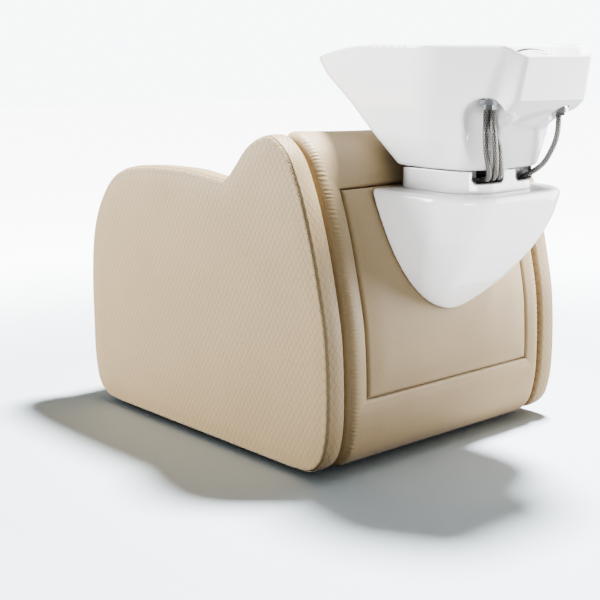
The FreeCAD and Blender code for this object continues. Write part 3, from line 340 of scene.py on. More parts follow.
def spread(tree: Tree, mask: Socket, low: float, high: float) -> Socket:
    """Turn a mask into a value between two limits.

    Args:
        tree: The material's tree.
        mask: The mask.
        low: The value where the mask is 0.
        high: The value where the mask is 1.

    Returns:
        The value.
    """
    return add_node(tree, "ShaderNodeMapRange", {"Value": mask, "To Min": low, "To Max": high}).outputs[0]


def link_surface(tree: Tree, surface: Node, colour: Socket, rough: Socket, relief: Socket,
                 bump: Pair) -> None:
    """Link a surface's colour, roughness and relief.

    Args:
        tree: The material's tree.
        surface: Its Principled BSDF.
        colour: The colour.
        rough: The roughness.
        relief: The height of the relief.
        bump: The strength of the relief and its depth in metres.
    """
    strength, depth = bump
    normal = add_node(tree, "ShaderNodeBump", {"Height": relief, "Strength": strength, "Distance": depth})
    for label, socket in (("Base Color", colour), ("Roughness", rough), ("Normal", normal.outputs[0])):
        tree.links.new(socket, surface.inputs[label])


@dataclass(frozen=True)
class Finish:
    """A procedural material."""

    name: str

    def material(self, effects: Effects) -> Skin:
        """Build the material.

        Args:
            effects: The shared shader groups.

        Returns:
            The material.
        """
        material, tree, surface = new_material(self.name)
        self.paint(tree, surface, effects)
        return material

    def paint(self, tree: Tree, surface: Node, effects: Effects) -> None:
        """Link the finish's nodes to the surface.

        Args:
            tree: The material's tree.
            surface: Its Principled BSDF.
            effects: The shared shader groups.
        """
        raise NotImplementedError


@dataclass(frozen=True)
class Vinyl(Finish):
    """Soft upholstery vinyl with a pebbled grain and a pressed diamond lattice, with painted shade in the
    lattice's lines and the grain's creases.
    """

    line_depth: float = 0.90
    # How dark the painted shade in the pressed lines is.
    line_painted_shade: float = 0.80
    colour: Colour = (0.345, 0.243, 0.116, 1.0)
    # Darker colour for the wear and for the painted shade in the pressed lines and the grain's creases.
    wear_and_shade_colour: Colour = (0.245, 0.163, 0.070, 1.0)
    grain_scale: float = 620.0
    grain_depth: float = 0.22
    # How dark the painted shade in the creases between the pebbles is.
    crease_painted_shade: float = 0.35
    worn_scale: float = 5.0
    worn_tone: float = 0.35
    rough: Pair = (0.46, 0.58)
    bump: Pair = (0.35, 0.0012)
    gloss: float = 0.35
    sheen: float = 0.12

    def paint(self, tree: Tree, surface: Node, effects: Effects) -> None:
        """Lay the grain, the pressed lines and the wear, with painted shade in the pressed lines and the
        grain's creases.
        """
        place = add_node(tree, "ShaderNodeTexCoord").outputs["Object"]
        parts = add_node(tree, "ShaderNodeSeparateXYZ", {
            0: add_node(tree, "ShaderNodeUVMap", uv_map=VINYL_MAP).outputs[0]})
        lines = place_group(tree, effects.emboss, {"Across": parts.outputs[0], "Up": parts.outputs[1]})
        grain = place_group(tree, effects.grain, {"Vector": place, "Scale": self.grain_scale})
        drift = place_group(tree, effects.drift, {"Vector": place, "Scale": self.worn_scale})
        worn = maths(tree, "MULTIPLY", drift.outputs["Mask"], self.worn_tone)
        # Painted shade: the pressed lines and the creases between the pebbles are darkened in the colour, on
        # top of their bump.
        shade = maths(tree, "MAXIMUM", maths(tree, "MULTIPLY", lines.outputs["Line"], self.line_painted_shade),
                      maths(tree, "MULTIPLY", grain.outputs["Crease"], self.crease_painted_shade))
        mask = maths(tree, "MINIMUM", maths(tree, "ADD", worn, shade), 1.0)
        height = maths(tree, "SUBTRACT", maths(tree, "MULTIPLY", grain.outputs["Height"], self.grain_depth),
                       maths(tree, "MULTIPLY", lines.outputs["Line"], self.line_depth))
        link_surface(tree, surface, mixed(tree, mask, self.colour, self.wear_and_shade_colour),
                     spread(tree, drift.outputs["Mask"], *self.rough), height, self.bump)
        surface.inputs["Specular IOR Level"].default_value = self.gloss
        surface.inputs["Sheen Weight"].default_value = self.sheen


@dataclass(frozen=True)
class Glaze(Finish):
    """Thick glossy glaze or gloss moulding: clear over a faintly uneven white."""

    colour: Colour = (0.90, 0.90, 0.90, 1.0)
    second: Colour = (0.87, 0.875, 0.88, 1.0)
    rough: Pair = (0.09, 0.14)
    ripple: Pair = (0.05, 0.0008)
    coat: float = 0.5
    coat_rough: float = 0.05
    tone_scale: float = 7.0
    ripple_scale: float = 55.0

    def paint(self, tree: Tree, surface: Node, effects: Effects) -> None:
        """Lay the uneven white and its faint ripple."""
        place = add_node(tree, "ShaderNodeTexCoord").outputs["Object"]
        drift = place_group(tree, effects.drift, {"Vector": place, "Scale": self.tone_scale})
        specks = place_group(tree, effects.drift, {"Vector": place, "Scale": self.ripple_scale})
        link_surface(tree, surface, mixed(tree, drift.outputs["Mask"], self.colour, self.second),
                     spread(tree, specks.outputs["Mask"], *self.rough), specks.outputs["Mask"], self.ripple)
        surface.inputs["Coat Weight"].default_value = self.coat
        surface.inputs["Coat Roughness"].default_value = self.coat_rough


@dataclass(frozen=True)
class TwoTone(Finish):
    """Metal, coating, rubber or thread: two close tones with fine handling marks."""

    colour: Colour
    second: Colour
    metallic: float = 1.0
    rough: Pair = (0.08, 0.18)
    scale: float = 60.0
    bump: float = 0.02
    bump_depth: float = 0.0005
    grain_share: float = 20.0

    def paint(self, tree: Tree, surface: Node, effects: Effects) -> None:
        """Lay the two tones and the fine marks."""
        place = add_node(tree, "ShaderNodeTexCoord").outputs["Object"]
        drift = place_group(tree, effects.drift, {"Vector": place, "Scale": self.scale})
        grain = place_group(tree, effects.grain, {"Vector": place, "Scale": self.scale * self.grain_share})
        mask = drift.outputs["Mask"]
        link_surface(tree, surface, mixed(tree, mask, self.colour, self.second),
                     spread(tree, mask, *self.rough), grain.outputs["Height"], (self.bump, self.bump_depth))
        surface.inputs["Metallic"].default_value = self.metallic


@dataclass(frozen=True)
class Plywood(Finish):
    """Sanded plywood: long grain along Y with growth bands."""

    name: str = "sanded_plywood"
    light: Colour = (0.58, 0.42, 0.24, 1.0)
    dark: Colour = (0.40, 0.26, 0.13, 1.0)
    stretch: Triple = (14.0, 1.2, 14.0)
    rough: Pair = (0.55, 0.7)
    bump: Pair = (0.15, 0.0005)

    def paint(self, tree: Tree, surface: Node, effects: Effects) -> None:
        """Lay the growth bands."""
        place = add_node(tree, "ShaderNodeTexCoord").outputs["Object"]
        stretch = add_node(tree, "ShaderNodeMapping", {"Vector": place, "Scale": self.stretch})
        bands = add_node(tree, "ShaderNodeTexWave", {
            "Vector": stretch.outputs[0], "Scale": 1.6, "Distortion": 7.0, "Detail": 3.0})
        drift = place_group(tree, effects.drift, {"Vector": stretch.outputs[0], "Scale": 9.0})
        mask = maths(tree, "MULTIPLY", bands.outputs["Fac"], drift.outputs["Mask"])
        link_surface(tree, surface, mixed(tree, mask, self.light, self.dark),
                     spread(tree, mask, *self.rough), mask, self.bump)


@dataclass(frozen=True)
class BraidedSteel(Finish):
    """Steel braid over a hose, on the tube's UV map."""

    name: str = "steel_braid"
    strand: Colour = (0.27, 0.258, 0.238, 1.0)
    shadow: Colour = (0.030, 0.028, 0.026, 1.0)
    rough: Pair = (0.55, 0.30)
    bump: Pair = (0.6, 0.0008)
    metallic: float = 0.85

    def paint(self, tree: Tree, surface: Node, effects: Effects) -> None:
        """Lay the crossing strands."""
        weave = place_group(tree, effects.braid, {
            "UV": add_node(tree, "ShaderNodeUVMap", uv_map=HOSE_MAP).outputs[0]})
        mask = weave.outputs["Strand"]
        link_surface(tree, surface, mixed(tree, mask, self.shadow, self.strand),
                     spread(tree, mask, *self.rough), weave.outputs["Height"], self.bump)
        surface.inputs["Metallic"].default_value = self.metallic


def link_mesh(name: str, mesh: bpy.types.Mesh) -> Piece:
    """Put a mesh into the scene as a piece at the origin."""
    piece = bpy.data.objects.new(name, mesh)
    bpy.context.scene.collection.objects.link(piece)
    return piece


def mesh_piece(name: str, points: Sequence[Sequence[float]], faces: Sequence[Sequence[int]]) -> Piece:
    """Make a smooth-shaded piece.

    Args:
        name: The piece's name.
        points: Its vertices.
        faces: Its faces, as vertex numbers.

    Returns:
        The piece, with its faces pointing outwards.
    """
    mesh = bpy.data.meshes.new(name)
    mesh.from_pydata([tuple(p) for p in points], [], [tuple(f) for f in faces])
    form = bmesh.new()
    form.from_mesh(mesh)
    bmesh.ops.recalc_face_normals(form, faces=form.faces)
    form.to_mesh(mesh)
    form.free()
    mesh.shade_smooth()
    return link_mesh(name, mesh)


def tube_faces(levels: int, count: int) -> list[tuple[int, ...]]:
    """Faces between rings of points, with a cap at both ends.

    Args:
        levels: How many rings there are.
        count: How many points each ring has.

    Returns:
        The faces, as vertex numbers.
    """
    last = (levels - 1) * count
    faces: list[tuple[int, ...]] = []
    for low in range(0, last, count):
        for n in range(count):
            m = (n + 1) % count
            faces.append((low + n, low + m, low + count + m, low + count + n))
    return faces + [tuple(range(count)), tuple(range(last, last + count))]


def settle(piece: Piece) -> None:
    """Turn a piece's modifiers into its mesh."""
    bpy.context.view_layer.update()
    graph = bpy.context.evaluated_depsgraph_get()
    mesh = bpy.data.meshes.new_from_object(piece.evaluated_get(graph), depsgraph=graph)
    piece.modifiers.clear()
    piece.data = mesh


def lay_vinyl(piece: Piece, places: np.ndarray) -> None:
    """Give a piece the map that its vinyl's pattern follows.

    Args:
        piece: The piece.
        places: The map's place of each corner of each face, in metres.
    """
    layer = piece.data.uv_layers.new(name=VINYL_MAP)
    layer.data.foreach_set("uv", np.asarray(places, dtype=float).ravel())


def corner_numbers(piece: Piece) -> np.ndarray:
    """The vertex number of each corner of each face of a piece."""
    numbers = np.empty(len(piece.data.loops), dtype=int)
    piece.data.loops.foreach_get("vertex_index", numbers)
    return numbers


def dress(piece: Piece, body: str, material: Skin) -> None:
    """Give a piece its material and its body.

    Args:
        piece: The piece.
        body: The body that it rides on.
        material: Its material.
    """
    piece.data.materials.clear()
    piece.data.materials.append(material)
    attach(piece, body)
    LOG.info("%s: %d faces on %s", piece.name, len(piece.data.polygons), body)


def softened(name: str, node: Piece, voxel: float, rounds: int) -> Piece:
    """Copy a solid into one skin with eased edges.

    Args:
        name: The piece's name.
        node: The solid.
        voxel: The skin's mesh size.
        rounds: How often its edges are eased.

    Returns:
        The piece.
    """
    form = bmesh.new()
    form.from_mesh(node.data)
    bmesh.ops.remove_doubles(form, verts=form.verts, dist=WELD)
    mesh = bpy.data.meshes.new(name)
    form.to_mesh(mesh)
    form.free()
    piece = link_mesh(name, mesh)
    skin = piece.modifiers.new("skin", "REMESH")
    skin.mode = "VOXEL"
    skin.voxel_size = voxel
    ease = piece.modifiers.new("ease", "SMOOTH")
    ease.factor = 0.5
    ease.iterations = rounds
    settle(piece)
    piece.data.shade_smooth()
    return piece


def inflate(piece: Piece, pressure: float, frames: int, cap: float) -> None:
    """Swell a pad with a cloth simulation and keep the result.

    Args:
        piece: The pad.
        pressure: The cloth's inner pressure.
        frames: How long it swells.
        cap: The furthest that a point may move.
    """
    scene = bpy.context.scene
    count = len(piece.data.vertices)
    rest = np.empty(count * 3)
    piece.data.vertices.foreach_get("co", rest)
    rest = rest.reshape(-1, 3)
    cloth = piece.modifiers.new("swell", "CLOTH")
    cloth.settings.use_pressure = True
    cloth.settings.uniform_pressure_force = pressure
    cloth.settings.effector_weights.gravity = 0.0
    cloth.point_cache.frame_start = 1
    cloth.point_cache.frame_end = frames
    for number in range(1, frames + 1):
        scene.frame_set(number)
    graph = bpy.context.evaluated_depsgraph_get()
    swollen = bpy.data.meshes.new_from_object(piece.evaluated_get(graph), depsgraph=graph)
    moved = np.empty(count * 3)
    swollen.vertices.foreach_get("co", moved)
    shift = moved.reshape(-1, 3) - rest
    reach = np.linalg.norm(shift, axis=1, keepdims=True)
    shift *= np.minimum(1.0, cap / np.maximum(reach, 1e-9))
    piece.modifiers.clear()
    piece.data.vertices.foreach_set("co", (rest + shift).ravel())
    piece.data.update()
    bpy.data.meshes.remove(swollen)
    scene.frame_set(1)


@dataclass(frozen=True)
class SewnRow:
    """A Geometry Nodes row of stitches along a seam."""

    pitch: float = 0.0062
    thickness: float = 0.0005
    length: float = 0.0021
    fineness: int = 2

    def tree(self) -> Tree:
        """Build the tree of nodes.

        Returns:
            The tree, with the row's sizes and material as named inputs.
        """
        tree = bpy.data.node_groups.new("row_of_thread", "GeometryNodeTree")
        for label, kind in (("Geometry", "NodeSocketGeometry"), ("Pitch", "NodeSocketFloat"),
                            ("Size", "NodeSocketVector"), ("Material", "NodeSocketMaterial")):
            tree.interface.new_socket(label, in_out="INPUT", socket_type=kind)
        tree.interface.new_socket("Geometry", in_out="OUTPUT", socket_type="NodeSocketGeometry")
        start = tree.nodes.new("NodeGroupInput")
        end = tree.nodes.new("NodeGroupOutput")
        line = add_node(tree, "GeometryNodeMeshToCurve", {0: start.outputs["Geometry"]})
        places = add_node(tree, "GeometryNodeCurveToPoints", {0: line.outputs[0]}, mode="LENGTH")
        tree.links.new(start.outputs["Pitch"], places.inputs["Length"])
        bead = add_node(tree, "GeometryNodeMeshIcoSphere", {
            "Radius": 1.0, "Subdivisions": self.fineness})
        rows = add_node(tree, "GeometryNodeInstanceOnPoints", {
            "Points": places.outputs["Points"], "Instance": bead.outputs[0],
            "Rotation": places.outputs["Rotation"], "Scale": start.outputs["Size"]})
        real = add_node(tree, "GeometryNodeRealizeInstances", {0: rows.outputs[0]})
        smooth = add_node(tree, "GeometryNodeSetShadeSmooth", {0: real.outputs[0]})
        painted = add_node(tree, "GeometryNodeSetMaterial", {
            "Geometry": smooth.outputs[0], "Material": start.outputs["Material"]})
        tree.links.new(painted.outputs[0], end.inputs[0])
        return tree

    def sew(self, name: str, lines: Sequence[Sequence[Sequence[float]]], material: Skin) -> Piece:
        """Sew the row along lines of points.

        Args:
            name: The piece's name.
            lines: The seams, each a line of points.
            material: The thread's material.

        Returns:
            The piece, as a plain mesh.
        """
        points: list[Sequence[float]] = []
        edges: list[tuple[int, int]] = []
        for line in lines:
            first = len(points)
            points.extend(line)
            edges.extend((n, n + 1) for n in range(first, len(points) - 1))
        mesh = bpy.data.meshes.new(name)
        mesh.from_pydata([tuple(p) for p in points], edges, [])
        piece = link_mesh(name, mesh)
        tree = self.tree()
        nodes = piece.modifiers.new("row", "NODES")
        nodes.node_group = tree
        size = (self.thickness, self.thickness, self.length)
        values = {"Pitch": self.pitch, "Size": size, "Material": material}
        for item in tree.interface.items_tree:
            if item.in_out == "INPUT" and item.name in values:
                nodes[item.identifier] = values[item.name]
        settle(piece)
        return piece


class SideOutline:
    """The arms' side outline as a closed, evenly sampled loop in the YZ plane."""

    SAMPLES = 1600
    SPAN_STEPS = 40
    CLOSING_STEPS = 200
    NORMAL_SPAN = 3

    def __init__(self) -> None:
        """Sample the outline and its inward normals."""
        knots = np.array([(REAR_Y - ARM_DEPTH * d, ARM_HEIGHT * h) for d, h in OUTLINE_SHARES])
        dense = self.smooth_line(knots, self.SPAN_STEPS)
        closing = np.linspace(dense[-1], dense[0], self.CLOSING_STEPS)[1:-1]
        loop = np.vstack([dense, closing])
        steps = np.linalg.norm(np.roll(loop, -1, axis=0) - loop, axis=1)
        run = np.concatenate([[0.0], np.cumsum(steps)])
        self.length = float(run[-1])
        self.runs = np.linspace(0.0, self.length, self.SAMPLES, endpoint=False)
        closed = np.vstack([loop, loop[:1]])
        self.points = np.column_stack([np.interp(self.runs, run, closed[:, axis]) for axis in (0, 1)])
        span = self.NORMAL_SPAN
        along = np.roll(self.points, -span, axis=0) - np.roll(self.points, span, axis=0)
        along /= np.linalg.norm(along, axis=1, keepdims=True)
        self.inward = np.column_stack([-along[:, 1], along[:, 0]])
        middle = self.points.mean(axis=0)
        if np.sum(self.inward * (middle - self.points)) < 0:
            self.inward = -self.inward

    @staticmethod
    def smooth_line(knots: np.ndarray, steps: int) -> np.ndarray:
        """Draw a smooth open line through knots.

        Args:
            knots: The points that it passes through.
            steps: How many samples each span gets.

        Returns:
            The line's points.
        """
        ends = np.vstack([2 * knots[0] - knots[1], knots, 2 * knots[-1] - knots[-2]])
        times = np.concatenate([[0.0], np.cumsum(np.sqrt(np.linalg.norm(np.diff(ends, axis=0), axis=1)))])
        line = []
        for n in range(len(ends) - 3):
            span = times[n:n + 4]
            for t in np.linspace(span[1], span[2], steps, endpoint=False):
                near = ends[n:n + 4]
                for pairs in (((0, 1), (1, 2), (2, 3)), ((0, 2), (1, 3)), ((1, 2),)):
                    shares = [(t - span[low]) / (span[high] - span[low]) for low, high in pairs]
                    near = [near[k] * (1 - share) + near[k + 1] * share for k, share in enumerate(shares)]
                line.append(near[0])
        line.append(knots[-1])
        return np.array(line)

    def ring(self, inset: float, count: int) -> np.ndarray:
        """The outline drawn in by an inset.

        Args:
            inset: How far it is drawn in.
            count: How many points the ring has.

        Returns:
            The ring's points, Y and Z.
        """
        picks = (np.arange(count) * self.SAMPLES) // count
        return self.points[picks] + self.inward[picks] * inset

    def at(self, run: float, inset: float) -> tuple[float, float]:
        """A point on the drawn-in outline.

        Args:
            run: The distance along the outline from the bottom of its rear edge.
            inset: How far the outline is drawn in.

        Returns:
            Y and Z.
        """
        place = (run % self.length) / self.length * self.SAMPLES
        low = int(place) % self.SAMPLES
        high = (low + 1) % self.SAMPLES
        share = place - int(place)
        point = self.points[low] * (1 - share) + self.points[high] * share
        inward = self.inward[low] * (1 - share) + self.inward[high] * share
        return tuple(point + inward * inset)

    def run_where(self, axis: Axis, value: float, low: float, high: float) -> float:
        """Find where a stretch of the outline crosses a value.

        Args:
            axis: The axis of the value.
            value: The value.
            low: Where the stretch starts, as a distance along the outline.
            high: Where it ends.

        Returns:
            The distance along the outline.
        """
        inside = (self.runs >= low) & (self.runs <= high)
        gaps = np.abs(self.points[:, axis.value] - value)
        gaps[~inside] = np.inf
        return float(self.runs[int(np.argmin(gaps))])


def rolled(distance: float, radius: float) -> float:
    """How far a rounded edge has dropped at a distance from it."""
    if distance >= radius:
        return 0.0
    return radius - math.sqrt(max(0.0, radius * radius - (radius - distance) ** 2))


def both_sides(places: Sequence[float]) -> list[float]:
    """Places on one side of the unit, together with those on the other side, in order."""
    return sorted({round(x, 5) for x in places} | {round(-x, 5) for x in places})


def pad_lines(half_width: float, first: float, last: float, margin: float,
              count: int) -> tuple[list[float], list[float]]:
    """Places for the points of a padded panel, close together along its edges.

    Args:
        half_width: Half of the panel's width.
        first: Where it starts along the outline.
        last: Where it ends.
        margin: How far from the sides the wide spacing starts.
        count: How many widely spaced rows it has.

    Returns:
        The columns across the unit and the rows along the outline.
    """
    side = [half_width - s for s in PAD_STEPS]
    side += list(np.linspace(half_width - margin, MIDDLE_X, MIDDLE_COLUMNS))
    rows = ({first + s for s in PAD_STEPS} | {last - s for s in PAD_STEPS}
            | set(np.linspace(first + ROW_MARGIN, last - ROW_MARGIN, count)))
    return both_sides(side), sorted(rows)


def eased(share: float) -> float:
    """A share from 0 to 1 with soft ends."""
    share = min(max(share, 0.0), 1.0)
    return share * share * (3.0 - 2.0 * share)


@dataclass
class Arm:
    """One padded arm: a soft slab with a crowned outer face and a double-stitched outer corner."""

    side: Side
    outline: SideOutline
    inner_x: float = 0.338
    outer_x: float = 0.390
    corner: float = 0.011
    inner_round: float = 0.009
    band_puff: float = 0.0014
    face_puff: float = 0.0022
    seam_turn: float = 0.70
    seam_depth: float = 0.0011
    seam_half_width: float = 0.0026
    stitch_offset: float = 0.0040
    stitch_lift: float = 0.0001
    stitch_thickness: float = 0.00055
    centre_inset: float = 0.05
    inner_margin: float = 0.03
    outer_margin: float = 0.035
    inner_shares: tuple[float, ...] = (0.15, 0.4, 0.65, 0.85, 1.0)
    crown_shares: tuple[float, ...] = (0.25, 0.55, 0.8)
    outer_shares: tuple[float, ...] = (1.0, 0.9, 0.75, 0.55, 0.35, 0.15)
    inner_steps: int = 7
    band_steps: int = 9
    corner_steps: int = 33
    count: int = 800

    def on_corner(self, turn: float, lift: float) -> Pair:
        """A place on the rounded outer corner.

        Args:
            turn: The angle from the band towards the outer face.
            lift: How far the place stands off the round.

        Returns:
            X and inset.
        """
        reach = self.corner + lift
        return (self.outer_x - self.corner + reach * math.sin(turn), self.corner - reach * math.cos(turn))

    def profile(self) -> list[Pair]:
        """The section across the arm's edge.

        Returns:
            X and inset, from the inner face over the band and the seam to the outer face.
        """
        inner = [(self.inner_x + self.inner_round * (1 - math.sin(t)), self.inner_round * (1 - math.cos(t)))
                 for t in np.linspace(math.pi / 2, 0.0, self.inner_steps)]
        start = self.inner_x + self.inner_round
        end = self.outer_x - self.corner
        band = [(start + (end - start) * share, -self.band_puff * math.sin(math.pi * share))
                for share in np.linspace(0.0, 1.0, self.band_steps)[1:-1]]
        corner = []
        for turn in np.linspace(0.0, math.pi / 2, self.corner_steps):
            away = (turn - self.seam_turn) * self.corner / self.seam_half_width
            corner.append(self.on_corner(turn, -self.seam_depth * math.exp(-away * away)))
        return inner + band + corner

    def build(self, vinyl: Skin, thread: Skin) -> None:
        """Build the arm and its stitching.

        Args:
            vinyl: The arm's vinyl.
            thread: The stitching's thread.
        """
        sign = self.side.value
        centre = self.outline.ring(self.centre_inset, self.count).mean(axis=0)
        inner_loop = self.outline.ring(self.inner_round + self.inner_margin, self.count)
        outer_loop = self.outline.ring(self.corner + self.outer_margin, self.count)
        rings = [self.flat_ring(centre + (inner_loop - centre) * share, self.inner_x)
                 for share in self.inner_shares]
        rings += [self.flat_ring(self.outline.ring(inset, self.count), x) for x, inset in self.profile()]
        for share in self.crown_shares:
            loop = self.outline.ring(self.corner + self.outer_margin * share, self.count)
            rings.append(self.flat_ring(loop, self.outer_x + self.face_puff * math.sin(share * math.pi / 2)))
        rings += [self.flat_ring(centre + (outer_loop - centre) * share, self.outer_x + self.face_puff)
                  for share in self.outer_shares]
        points = np.vstack(rings)
        points[:, 0] *= sign
        label = self.side.name.lower()
        piece = mesh_piece("arm_" + label, points, tube_faces(len(rings), self.count))
        self.lay(piece, points, len(self.profile()))
        dress(piece, "chair", vinyl)
        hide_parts(*(f"arm_{part}_{label}" for part in ("outer_panel", "edge_band", "inner_panel")))

        lines = []
        for offset in (-self.stitch_offset, self.stitch_offset):
            x, inset = self.on_corner(self.seam_turn + offset / self.corner, self.stitch_lift)
            ring = self.flat_ring(self.outline.ring(inset, self.count), x)
            ring[:, 0] *= sign
            lines.append(np.vstack([ring, ring[:1]]))
        stitches = SewnRow(thickness=self.stitch_thickness).sew("arm_stitches_" + label, lines, thread)
        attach(stitches, "chair")

    def lay(self, piece: Piece, points: np.ndarray, band_rings: int) -> None:
        """Lay the vinyl's pattern flat on the two faces and round the band.

        Args:
            piece: The arm.
            points: Its vertices, ring by ring.
            band_rings: How many rings the band and its corners have.
        """
        numbers = corner_numbers(piece)
        places = points[numbers][:, 1:]
        corners = [len(face.vertices) for face in piece.data.polygons]
        faces = np.repeat(np.arange(len(corners)), corners)
        level = faces // self.count - (len(self.inner_shares) - 1)
        on_band = (level >= 0) & (level < band_rings)
        runs = self.outline.runs[(numbers % self.count) * self.outline.SAMPLES // self.count]
        closing = (faces % self.count == self.count - 1) & (numbers % self.count == 0)
        runs = np.where(closing, self.outline.length, runs)
        places[on_band] = np.column_stack([points[numbers, 0], runs])[on_band]
        lay_vinyl(piece, places)

    @staticmethod
    def flat_ring(loop: np.ndarray, x: float) -> np.ndarray:
        """A loop of Y and Z as points at one X."""
        return np.column_stack([np.full(len(loop), x), loop])


@dataclass
class PaddedSkin:
    """A padded skin that lies on the side outline."""

    outline: SideOutline
    inset: float = -0.002
    depth: float = 0.032

    def grid(self, name: str, columns: Sequence[float], rows: Sequence[float],
             drop: Callable[[float, float], float], window: Triple | None) -> Piece:
        """Lay a padded skin on the outline and turn its borders inwards.

        Args:
            name: The piece's name.
            columns: The places across the unit.
            rows: The distances along the outline.
            drop: A function of X and the distance along the outline that gives the skin's inset.
            window: The opening's half width, and its limits along the outline, or None.

        Returns:
            The piece.
        """
        points = []
        inner = []
        places = []
        for run in rows:
            for x in columns:
                points.append((x, *self.outline.at(run, drop(x, run))))
                inner.append((x, *self.outline.at(run, self.inset + self.depth)))
                places.append((x, run))
        width = len(columns)
        faces = []
        for r in range(len(rows) - 1):
            for c in range(width - 1):
                if window and self.in_window(columns, rows, r, c, window):
                    continue
                faces.append((r * width + c, r * width + c + 1, (r + 1) * width + c + 1, (r + 1) * width + c))
        used: dict[tuple[int, int], int] = {}
        for face in faces:
            for a, b in zip(face, face[1:] + face[:1]):
                used[(min(a, b), max(a, b))] = used.get((min(a, b), max(a, b)), 0) + 1
        border = [edge for edge, times in used.items() if times == 1]
        offset = len(points)
        for a, b in border:
            faces.append((a, b, b + offset, a + offset))
        kept, order = self.compact(faces)
        everything = points + inner
        piece = mesh_piece(name, [everything[number] for number in kept], order)
        lay_vinyl(piece, np.array(places * 2)[kept][corner_numbers(piece)])
        return piece

    @staticmethod
    def in_window(columns: Sequence[float], rows: Sequence[float], r: int, c: int,
                  window: Triple) -> bool:
        """Whether one cell of the grid lies in the opening."""
        half_width, low, high = window
        x = (columns[c] + columns[c + 1]) / 2
        run = (rows[r] + rows[r + 1]) / 2
        return abs(x) < half_width and low < run < high

    @staticmethod
    def compact(faces: Sequence[Sequence[int]]) -> tuple[list[int], list[tuple[int, ...]]]:
        """Drop the points that no face uses.

        Args:
            faces: The faces.

        Returns:
            The numbers of the points that are used, and the faces with their new numbers.
        """
        order: dict[int, int] = {}
        for face in faces:
            for number in face:
                order.setdefault(number, len(order))
        return list(order), [tuple(order[number] for number in face) for face in faces]


